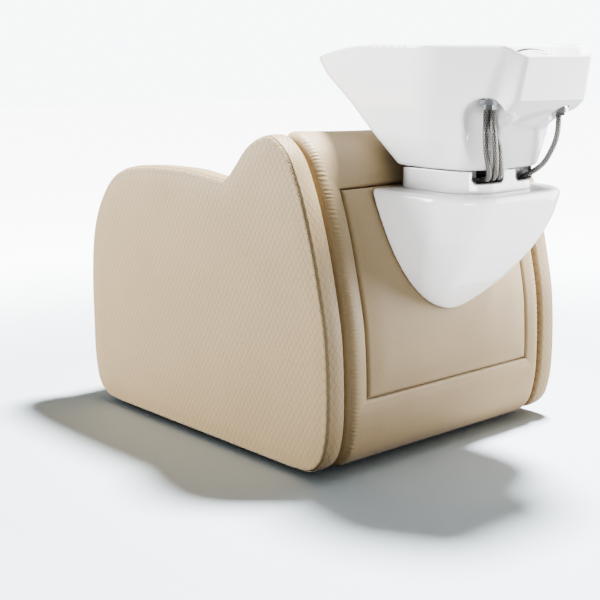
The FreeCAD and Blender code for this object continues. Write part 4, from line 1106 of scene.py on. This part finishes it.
@dataclass
class RearBody(PaddedSkin):
    """The padded rear of the chair: a surround with gathered edges and the inset access panel."""

    half_width: float = 0.329
    panel_half_width: float = 0.274
    panel_bottom: float = 0.173
    panel_top: float = 0.627
    gap: float = 0.003
    side_roll: float = 0.022
    window_roll: float = 0.007
    border_puff: float = 0.0026
    panel_puff: float = 0.004
    pucker: float = 0.0006
    pucker_pitch: float = 0.0095
    pucker_place: float = 0.017
    pucker_reach: float = 0.009
    pucker_slant: float = 160.0
    sway: float = 1.6
    sway_pitch: float = 0.097
    uneven: float = 0.35
    uneven_pitch: float = 0.043
    uneven_starts: Pair = (1.0, 2.4)
    seam_edge: float = 0.0072
    seam_ends: float = 0.02
    seam_points: int = 260
    puff_run: float = 0.028
    crown_run: float = 0.05
    foot_roll: float = 0.008
    end_roll: float = 0.006
    panel_roll: float = 0.008
    border_columns: Pair = (0.2925, 0.2865)
    middle_margin: float = 0.02
    middle_columns: int = 13
    row_count: int = 640
    row_clearance: float = 0.0008
    bottom_stretch: Pair = (0.0, 0.4)
    top_stretch: Pair = (0.3, 0.9)
    foot_stretch: Pair = (0.0, 0.2)
    end_stretch: float = 0.7
    crest_stretch: float = 0.6
    saddle: float = 0.008
    saddle_half_width: float = 0.300
    saddle_reach: float = 0.13
    end_y: float = 0.113
    foot_reach: float = 0.090

    def build(self, vinyl: Skin, thread: Skin) -> None:
        """Build the surround, the panel, the gathers and the stitches.

        Args:
            vinyl: The vinyl.
            thread: The thread.
        """
        line = self.outline
        half = line.length / 2
        low_run = line.run_where(Axis.Z, self.panel_bottom, *self.bottom_stretch)
        high_run = line.run_where(Axis.Z, self.panel_top, *self.top_stretch)
        end_run = line.run_where(Axis.Y, self.end_y, self.end_stretch, half)
        start_run = line.run_where(Axis.Y, REAR_Y - self.foot_reach, *self.foot_stretch)
        crest_run = line.run_where(Axis.Z, ARM_HEIGHT, self.crest_stretch, half)
        columns = both_sides([self.half_width - s for s in ROLL_STEPS] + list(self.border_columns)
                             + [self.panel_half_width + s for s in WINDOW_STEPS]
                             + list(np.linspace(self.panel_half_width - self.middle_margin, MIDDLE_X,
                                                self.middle_columns)))
        near = [run for run in np.linspace(start_run, end_run, self.row_count)
                if min(abs(run - low_run), abs(run - high_run)) > self.row_clearance]
        rows = sorted(set(near) | {low_run - s for s in WINDOW_STEPS} | {high_run + s for s in WINDOW_STEPS})
        window = (self.panel_half_width, low_run, high_run)

        def surround_drop(x: float, run: float) -> float:
            """The surround's inset: rolled at its sides, at its ends and round the opening."""
            away = max(abs(x) - self.panel_half_width, run - high_run, low_run - run, 0.0)
            edge = self.half_width - abs(x)
            return (self.inset + rolled(edge, self.side_roll) + rolled(away, self.window_roll)
                    + rolled(run - start_run, self.foot_roll) + rolled(end_run - run, self.end_roll)
                    - self.border_puff * eased(away / self.puff_run) * eased(edge / self.puff_run)
                    + self.puckered(x, run, edge) + self.dipped(x, run - crest_run))

        surround = self.grid("rear_surround", columns, rows, surround_drop, window)
        dress(surround, "chair", vinyl)
        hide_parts("back_surround")

        panel_half = self.panel_half_width - self.gap
        first = low_run + self.gap
        last = high_run - self.gap
        columns, rows = pad_lines(panel_half, first, last, margin=0.035, count=44)

        def panel_drop(x: float, run: float) -> float:
            """The panel's inset: rolled edges and a slight crown."""
            away = min(panel_half - abs(x), run - first, last - run)
            return self.inset - self.panel_puff * eased(away / self.crown_run) + rolled(away, self.panel_roll)

        panel = self.grid("access_panel", columns, rows, panel_drop, None)
        dress(panel, "chair", vinyl)
        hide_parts("rear_panel")
        self.sew(start_run, end_run, thread)

    def puckered(self, x: float, run: float, edge: float) -> float:
        """The small gathers of the vinyl beside the sewn edges.

        Args:
            x: The place across the unit.
            run: The distance along the outline.
            edge: The distance from the sewn edge.

        Returns:
            How far the gathers draw the skin in.
        """
        turn = (math.tau * run / self.pucker_pitch + self.sway * math.sin(math.tau * run / self.sway_pitch)
                + self.pucker_slant * edge)
        start = self.uneven_starts[0 if x > 0 else 1]
        uneven = 1.0 - self.uneven + self.uneven * math.sin(math.tau * run / self.uneven_pitch + start)
        away = (edge - self.pucker_place) / self.pucker_reach
        return self.pucker * uneven * math.sin(turn) * math.exp(-away * away)

    def dipped(self, x: float, beyond: float) -> float:
        """The shallow saddle in the middle of the top roll.

        Args:
            x: The place across the unit.
            beyond: The distance from the crest of the roll.

        Returns:
            How far the saddle draws the skin in.
        """
        across = max(0.0, 1.0 - (x / self.saddle_half_width) ** 2)
        along = max(0.0, 1.0 - (beyond / self.saddle_reach) ** 2)
        return self.saddle * across * along * along

    def sew(self, start_run: float, end_run: float, thread: Skin) -> None:
        """Sew the gathered side edges.

        Args:
            start_run: Where the surround starts along the outline.
            end_run: Where it ends.
            thread: The thread.
        """
        seams = []
        runs = np.linspace(start_run + self.seam_ends, end_run - self.seam_ends, self.seam_points)
        drop = self.inset + rolled(self.seam_edge, self.side_roll)
        for side in Side:
            x = side.value * (self.half_width - self.seam_edge)
            seams.append([(x, *self.outline.at(run, drop)) for run in runs])
        stitches = SewnRow().sew("surround_stitches", seams, thread)
        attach(stitches, "chair")


@dataclass
class Seat:
    """The sitter's side: seat cushion, back cushion and the padded front below the seat."""

    outline: SideOutline
    nodes: dict[str, Piece]
    voxel: float = 0.007
    rounds: int = 10
    pressure: float = 4.0
    frames: int = 18
    swell: float = 0.004
    front_bottom: float = 0.040
    front_top: float = 0.327
    front_inset: float = 0.006
    front_depth: float = 0.028
    front_drop: float = 0.008
    front_roll: float = 0.011
    top_limit: float = 0.85
    bottom_limit: float = 0.75
    half_width: float = 0.335
    reach: float = 0.045
    reach_run: float = 0.30

    def reach_back(self, pad: Piece) -> None:
        """Draw the seat pad's rear edge out towards the back pad.

        Args:
            pad: The seat pad.
        """
        last = max(vertex.co.y for vertex in pad.data.vertices)
        for vertex in pad.data.vertices:
            vertex.co.y += self.reach * eased(max(0.0, 1.0 - (last - vertex.co.y) / self.reach_run))

    def build(self, vinyl: Skin) -> None:
        """Build the cushions and the front.

        Args:
            vinyl: The vinyl.
        """
        for node, name in (("seat_cushion", "seat_pad"), ("back_cushion", "back_pad")):
            pad = softened(name, self.nodes[node], self.voxel, self.rounds)
            if node == "seat_cushion":
                self.reach_back(pad)
            inflate(pad, self.pressure, self.frames, self.swell)
            spots = np.array([(v.co.x, v.co.y + v.co.z) for v in pad.data.vertices])
            lay_vinyl(pad, spots[corner_numbers(pad)])
            dress(pad, "chair", vinyl)
            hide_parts(node)
        line = self.outline
        half = line.length / 2
        start = line.run_where(Axis.Z, self.front_top, half, line.length - self.top_limit)
        end = line.run_where(Axis.Z, self.front_bottom, half, line.length - self.bottom_limit)
        columns, rows = pad_lines(self.half_width, start, end, margin=0.04, count=30)

        def front_drop(x: float, run: float) -> float:
            """The front's inset: rolled at its sides and ends."""
            away = min(self.half_width - abs(x), run - start, end - run)
            return self.front_drop + rolled(away, self.front_roll)

        skin = PaddedSkin(line, self.front_inset, self.front_depth)
        front = skin.grid("seat_front", columns, rows, front_drop, None)
        dress(front, "chair", vinyl)
        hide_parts("seat_front_panel")


@dataclass(frozen=True)
class Casting:
    """A white piece that is eased out of its solid."""

    name: str
    node: str
    body: str
    slot: str
    voxel: float
    rounds: int


CASTINGS = (
    Casting("glazed_basin", "basin", "basin", "ceramic", voxel=0.0036, rounds=16),
    Casting("moulded_shell", "pedestal_shell", "chair", "shell_white", voxel=0.003, rounds=12),
    Casting("moulded_collar", "collar", "chair", "shell_white", voxel=0.002, rounds=4),
)


@dataclass
class Ceramics:
    """The glazed basin and the gloss moulding that carries it."""

    nodes: dict[str, Piece]

    def build(self, finishes: dict[str, Skin]) -> list[Piece]:
        """Build the basin, the shell and the collar.

        Args:
            finishes: The material of each slot.

        Returns:
            The three pieces.
        """
        made = []
        for cast in CASTINGS:
            piece = softened(cast.name, self.nodes[cast.node], cast.voxel, cast.rounds)
            dress(piece, cast.body, finishes[cast.slot])
            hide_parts(cast.node)
            made.append(piece)
        return made


@dataclass
class Hose:
    """A hose along its route, which is given in millimetres behind the arms."""

    name: str
    node: str
    route: tuple[Triple, ...]
    length: float
    turn: tuple[Triple, Triple]
    diameter: float = 0.0124
    slot: str = "braid"
    bodies: tuple[str, str] = ("basin", "chair")
    sides: int = 20
    cord_ratio: float = 6
    points: list[Vector] = field(default_factory=list)

    def line(self) -> list[Vector]:
        """The hose's smooth centre line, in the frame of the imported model."""
        curve = bpy.data.curves.new(self.name + "_line", "CURVE")
        curve.dimensions = "3D"
        spline = curve.splines.new("NURBS")
        spline.points.add(len(self.route) - 1)
        for point, place in zip(spline.points, self.route):
            point.co = (*self.placed(place), 1.0)
        spline.order_u = 3
        spline.use_endpoint_u = True
        spline.resolution_u = 8
        guide = bpy.data.objects.new(self.name + "_line", curve)
        bpy.context.scene.collection.objects.link(guide)
        bpy.context.view_layer.update()
        graph = bpy.context.evaluated_depsgraph_get()
        mesh = bpy.data.meshes.new_from_object(guide.evaluated_get(graph), depsgraph=graph)
        points = [vertex.co.copy() for vertex in mesh.vertices]
        bpy.data.meshes.remove(mesh)
        bpy.data.objects.remove(guide)
        bpy.data.curves.remove(curve)
        return points

    def tube(self) -> Piece:
        """The hose's skin, with a UV map that runs along it.

        Returns:
            The piece.
        """
        self.points = self.line()
        count = len(self.points)
        ahead = [(self.points[min(n + 1, count - 1)] - self.points[max(n - 1, 0)]).normalized()
                 for n in range(count)]
        normal = ahead[0].orthogonal().normalized()
        rings = []
        runs = [0.0]
        for n in range(count):
            if n:
                normal = (normal - ahead[n] * normal.dot(ahead[n])).normalized()
                runs.append(runs[-1] + (self.points[n] - self.points[n - 1]).length)
            across = ahead[n].cross(normal)
            for k in range(self.sides):
                angle = math.tau * k / self.sides
                spoke = normal * math.cos(angle) + across * math.sin(angle)
                rings.append(self.points[n] + spoke * (self.diameter / 2))
        piece = mesh_piece(self.name, rings, tube_faces(count, self.sides))
        layer = piece.data.uv_layers.new(name=HOSE_MAP)
        for face in piece.data.polygons:
            numbers = [piece.data.loops[loop].vertex_index for loop in face.loop_indices]
            wraps = len({n % self.sides for n in numbers} & {0, self.sides - 1}) == 2 and len(numbers) == 4
            for loop, number in zip(face.loop_indices, numbers):
                k = number % self.sides
                turn = 1.0 if wraps and k == 0 else k / self.sides
                layer.data[loop].uv = (turn, runs[number // self.sides] / self.diameter)
        return piece

    def build(self, skin: Skin) -> None:
        """Args:
            skin: The hose's material.
        """
        piece = self.tube()
        piece.data.materials.append(skin)
        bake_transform(piece)
        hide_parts(self.node)
        LOG.info("%s: %d points", self.name, len(self.points))

    @staticmethod
    def placed(point: Triple) -> Triple:
        """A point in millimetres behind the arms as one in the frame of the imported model."""
        x, y, z = (value / MILLIMETRES for value in point)
        return (x, REAR_Y + y, z)


HOT_ROUTE: tuple[Triple, ...] = (
    (106.6, 168.2, 800.0), (106.6, 168.2, 772.0), (109.0, 170.0, 738.0), (103.0, 170.0, 702.0),
    (92.0, 168.0, 678.0), (73.0, 154.0, 654.0), (66.0, 124.0, 646.0), (62.0, 112.0, 620.0),
    (48.0, 104.0, 585.0), (42.0, 86.0, 555.0), (41.0, 48.0, 528.0), (41.0, -10.0, 508.0),
    (41.0, -66.0, 490.0), (43.0, -108.0, 455.0), (48.0, -128.0, 400.0), (55.0, -134.0, 330.0),
    (60.0, -136.0, 250.0), (61.0, -135.0, 170.0), (61.0, -135.0, 86.0),
)
COLD_ROUTE: tuple[Triple, ...] = (
    (100.0, 179.6, 800.0), (100.0, 179.6, 778.0), (104.0, 189.0, 748.0), (92.0, 185.0, 702.0),
    (76.0, 173.0, 678.0), (54.0, 154.0, 654.0), (48.0, 124.0, 645.0), (48.5, 106.0, 622.0),
    (34.0, 98.0, 590.0), (28.0, 74.0, 562.0), (27.0, 30.0, 540.0), (26.0, -20.0, 520.0),
    (26.0, -76.0, 500.0), (27.0, -112.0, 462.0), (31.0, -128.0, 400.0), (36.0, -134.0, 330.0),
    (39.0, -136.0, 250.0), (39.0, -135.0, 170.0), (39.0, -135.0, 86.0),
)
OUTLET_ROUTE: tuple[Triple, ...] = (
    (93.4, 168.2, 800.0), (93.4, 168.2, 768.0), (89.5, 180.0, 744.0), (83.0, 187.0, 724.0),
    (76.0, 183.0, 702.0), (58.0, 172.0, 678.0), (36.0, 154.0, 654.0), (32.0, 124.0, 645.0),
    (44.0, 120.0, 612.0), (47.0, 119.0, 575.0), (43.0, 119.0, 548.0), (32.0, 119.0, 527.0),
    (12.0, 119.0, 527.0),
)
SHOWER_ROUTE: tuple[Triple, ...] = (
    (-12.0, 119.0, 527.0), (-32.0, 119.0, 527.0), (-45.0, 119.0, 545.0), (-52.0, 119.0, 575.0),
    (-58.0, 120.0, 612.0), (-70.0, 126.0, 645.0), (-82.0, 148.0, 657.5), (-86.0, 174.0, 678.0),
    (-86.0, 190.0, 704.0), (-83.0, 204.0, 728.0), (-75.0, 214.0, 748.0), (-70.0, 219.0, 764.0),
    (-70.0, 219.0, 784.0),
)
DRAIN_ROUTE: tuple[Triple, ...] = (
    (0.0, 35.0, 690.0), (0.0, 35.0, 630.0), (0.0, 22.0, 562.0), (0.0, -26.0, 514.0), (0.0, -82.0, 490.0),
    (0.0, -124.0, 440.0), (0.0, -133.0, 370.0), (0.0, -126.0, 280.0), (0.0, -118.0, 200.0),
    (0.0, -118.0, 108.0),
)
HANDSET_ROUTE: tuple[Triple, ...] = ((-70.0, 219.0, 784.0), (-70.0, 219.0, 795.0), (-70.0, 219.0, 806.0))
UPPER_BEND: tuple[Triple, Triple] = ((80.0, 180.0, 770.0), (80.0, 180.0, 660.0))
DRAIN_BEND: tuple[Triple, Triple] = ((0.0, 35.0, 690.0), (0.0, 35.0, 600.0))


@dataclass
class Plumbing:
    """The hoses between the fittings."""

    shower_diameter: float = 0.0120
    drain_diameter: float = 0.034

    def build(self, finishes: dict[str, Skin]) -> None:
        """Build every hose.

        Args:
            finishes: The material of each slot.
        """
        hoses = (
            Hose("hot_supply", "hot_hose", HOT_ROUTE, 0.881, UPPER_BEND),
            Hose("cold_supply", "cold_hose", COLD_ROUTE, 0.891, UPPER_BEND),
            Hose("mixed_outlet", "outlet_hose", OUTLET_ROUTE, 0.340, UPPER_BEND),
            Hose("shower_feed", "shower_hose", SHOWER_ROUTE, 0.323, UPPER_BEND, self.shower_diameter),
            Hose("drain_line", "drain_hose", DRAIN_ROUTE, 0.651, DRAIN_BEND, self.drain_diameter,
                 slot="plastic_white"),
            Hose("handset_line", "handset_hose", HANDSET_ROUTE, 0.022, (HANDSET_ROUTE[0], HANDSET_ROUTE[-1]),
                 self.shower_diameter, bodies=("basin", "handset")),
        )
        for hose in hoses:
            hose.build(finishes[hose.slot])


@dataclass
class Studio:
    """The camera, the pale floor and the soft light."""

    whites: list[Piece]
    place: Triple = (2.0426, 2.1002, 0.9313)
    pitch: float = 77.95
    heading: float = 138.465
    lens: float = 72.0
    sensor: float = 36.0
    white: float = 9.0
    ambient: float = 0.24
    tint: Colour = (0.90, 0.97, 1.0, 1.0)
    floor_reach: float = 14.0
    floor_tones: tuple[Colour, Colour] = ((0.76, 0.87, 0.93, 1.0), (0.79, 0.90, 0.96, 1.0))
    floor_bounce: Colour = (0.32, 0.32, 0.32, 1.0)
    floor_rough: float = 0.6
    glow: Pair = (0.9, 2.8)

    def build(self) -> None:
        """Set the stage up."""
        camera = bpy.data.cameras.new("camera")
        camera.lens = self.lens
        camera.sensor_width = self.sensor
        camera.clip_end = 60.0
        eye = bpy.data.objects.new("camera", camera)
        eye.location = self.place
        eye.rotation_euler = (math.radians(self.pitch), 0.0, math.radians(self.heading))
        bpy.context.scene.collection.objects.link(eye)
        bpy.context.scene.camera = eye

        corners = [(x * self.floor_reach, y * self.floor_reach, 0.0)
                   for x, y in ((-1, -1), (1, -1), (1, 1), (-1, 1))]
        floor = mesh_piece("floor", corners, [(0, 1, 2, 3)])
        floor.data.materials.append(self.floor_material())
        basin, *moulding = self.whites
        self.lamp("key", (-0.75, 0.10, 3.40), (0.0, 0.0, 0.3), size=0.60, power=1000.0)
        self.lamp("front_fill", (2.6, -2.2, 1.5), (0.2, -0.1, 0.5), 1.8, 440.0, Lit.NEVER, [floor])
        self.lamp("rear_fill", (-1.25, 1.05, 0.75), (0.0, 0.45, 0.4), 1.5, 78.0, Lit.NEVER, [floor])
        self.lamp("basin_fill", (2.5, 1.3, 1.5), (0.05, 0.55, 0.85), 1.2, 115.0, Lit.ONLY, [basin])
        self.lamp("shell_fill", (1.2, 2.3, 0.3), (0.05, 0.6, 0.6), 1.0, 125.0, Lit.ONLY, moulding)
        world = bpy.data.worlds.new("studio")
        world.use_nodes = True
        tree = world.node_tree
        seen = add_node(tree, "ShaderNodeLightPath").outputs["Is Camera Ray"]
        sky = tree.nodes["Background"]
        tree.links.new(spread(tree, seen, self.ambient, self.white), sky.inputs["Strength"])
        sky.inputs["Color"].default_value = self.tint
        bpy.context.scene.world = world

    def floor_material(self) -> Skin:
        """A pale, faintly uneven floor that runs out into the white around it."""
        material, tree, surface = new_material("pale_floor")
        place = add_node(tree, "ShaderNodeTexCoord").outputs["Object"]
        noise = add_node(tree, "ShaderNodeTexNoise", {"Vector": place, "Scale": 3.0, "Detail": 3.0})
        white = mixed(tree, noise.outputs["Fac"], *self.floor_tones)
        seen = add_node(tree, "ShaderNodeLightPath").outputs["Is Camera Ray"]
        tree.links.new(mixed(tree, seen, self.floor_bounce, white), surface.inputs["Base Color"])
        reach = add_node(tree, "ShaderNodeVectorMath", {0: place}, operation="LENGTH").outputs["Value"]
        far = add_node(tree, "ShaderNodeMapRange", {
            "Value": reach, "From Min": self.glow[0], "From Max": self.glow[1]},
            interpolation_type="SMOOTHSTEP").outputs[0]
        glow = maths(tree, "MULTIPLY", maths(tree, "MULTIPLY", far, seen), self.white)
        tree.links.new(glow, surface.inputs["Emission Strength"])
        surface.inputs["Emission Color"].default_value = (1.0, 1.0, 1.0, 1.0)
        surface.inputs["Roughness"].default_value = self.floor_rough
        return material

    @staticmethod
    def lamp(name: str, place: Triple, target: Triple, size: float, power: float,
             rule: Lit = Lit.NEVER, pieces: Sequence[Piece] = ()) -> None:
        """Hang one soft light.

        Args:
            name: Its name.
            place: Where it hangs.
            target: What it points at.
            size: Its width.
            power: Its power in watts.
            rule: How it treats the pieces.
            pieces: The pieces that it lights alone, or leaves unlit.
        """
        light = bpy.data.lights.new(name, "AREA")
        light.shape = "DISK"
        light.size = size
        light.energy = power
        lamp = bpy.data.objects.new(name, light)
        lamp.location = place
        aim = Vector(target) - Vector(place)
        lamp.rotation_euler = aim.to_track_quat("-Z", "Y").to_euler()
        bpy.context.scene.collection.objects.link(lamp)
        if not pieces:
            return
        linked = bpy.data.collections.new(f"{name}_pieces")
        for piece in pieces:
            linked.objects.link(piece)
        for entry in linked.collection_objects:
            entry.light_linking.link_state = rule.value
        lamp.light_linking.receiver_collection = linked


@dataclass
class Fittings:
    """Rigid pieces whose solids stay, with their own finishes."""

    nodes: dict[str, Piece]

    def build(self, finishes: dict[str, Skin], record: dict[str, Any]) -> None:
        """Give every solid that still shows its finish.

        Args:
            finishes: The material of each slot.
            record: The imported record.
        """
        for entry in record["subparts"]:
            node = self.nodes[entry["node"]]
            if node.hide_render:
                continue
            material = finishes[entry["material_slot"]]
            if not node.material_slots:
                node.data.materials.append(material)
            for slot in node.material_slots:
                slot.material = material
            LOG.info("%s keeps its solid in %s", node.name, material.name)


def main() -> None:
    """Build the whole object around its frame."""
    logging.basicConfig(level=logging.INFO, format="%(message)s")
    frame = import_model()
    nodes = frame["nodes"]
    effects = Effects.build()
    vinyl_side = Vinyl("vinyl_side").material(effects)
    vinyl_rear = Vinyl("vinyl_rear", line_depth=0.16, line_painted_shade=0.2).material(effects)
    thread = TwoTone("seam_thread", (0.50, 0.40, 0.27, 1.0), (0.42, 0.33, 0.22, 1.0), metallic=0.0,
                     rough=(0.6, 0.75), scale=200.0, bump=0.2).material(effects)
    slots: dict[str, Finish] = {
        "plywood": Plywood(),
        "frame_paint": TwoTone("black_powder_coat", (0.012, 0.012, 0.013, 1.0), (0.02, 0.02, 0.021, 1.0),
                               metallic=0.0, rough=(0.42, 0.55), scale=90.0, bump=0.25),
        "zinc": TwoTone("zinc_plate", (0.62, 0.63, 0.65, 1.0), (0.52, 0.53, 0.56, 1.0), rough=(0.25, 0.4)),
        "glide": TwoTone("black_nylon", (0.015, 0.015, 0.015, 1.0), (0.022, 0.022, 0.022, 1.0),
                         metallic=0.0, rough=(0.5, 0.62), bump=0.1),
        "shell_white": Glaze("gloss_white", (0.88, 0.885, 0.89, 1.0), (0.85, 0.855, 0.86, 1.0),
                             rough=(0.13, 0.18), ripple=(0.04, 0.0008), coat=0.35),
        "grommet": TwoTone("grey_rubber", (0.16, 0.16, 0.16, 1.0), (0.20, 0.20, 0.20, 1.0),
                           metallic=0.0, rough=(0.6, 0.75), scale=120.0, bump=0.15),
        "ceramic": Glaze("white_glaze"),
        "chrome": TwoTone("polished_chrome", (0.78, 0.79, 0.80, 1.0), (0.72, 0.73, 0.75, 1.0),
                          rough=(0.06, 0.13)),
        "brass": TwoTone("machined_brass", (0.60, 0.44, 0.17, 1.0), (0.50, 0.36, 0.14, 1.0),
                         rough=(0.2, 0.35)),
        "plastic_white": Glaze("hose_white", (0.70, 0.70, 0.69, 1.0), (0.64, 0.64, 0.63, 1.0),
                               rough=(0.45, 0.55), ripple=(0.1, 0.0008), coat=0.0),
        "spray": TwoTone("grey_nozzle", (0.05, 0.05, 0.052, 1.0), (0.07, 0.07, 0.072, 1.0),
                         metallic=0.0, rough=(0.4, 0.5), scale=80.0, bump=0.1),
        "braid": BraidedSteel(),
    }
    finishes = {slot: finish.material(effects) for slot, finish in slots.items()}
    finishes["vinyl"] = vinyl_side
    Plumbing().build(finishes)
    outline = SideOutline()
    for side in Side:
        Arm(side, outline).build(vinyl_side, thread)
    RearBody(outline).build(vinyl_rear, thread)
    Seat(outline, nodes).build(vinyl_rear)
    whites = Ceramics(nodes).build(finishes)
    Studio(whites).build()
    Fittings(nodes).build(finishes, frame["record"])


if __name__ == "__main__":
    main()
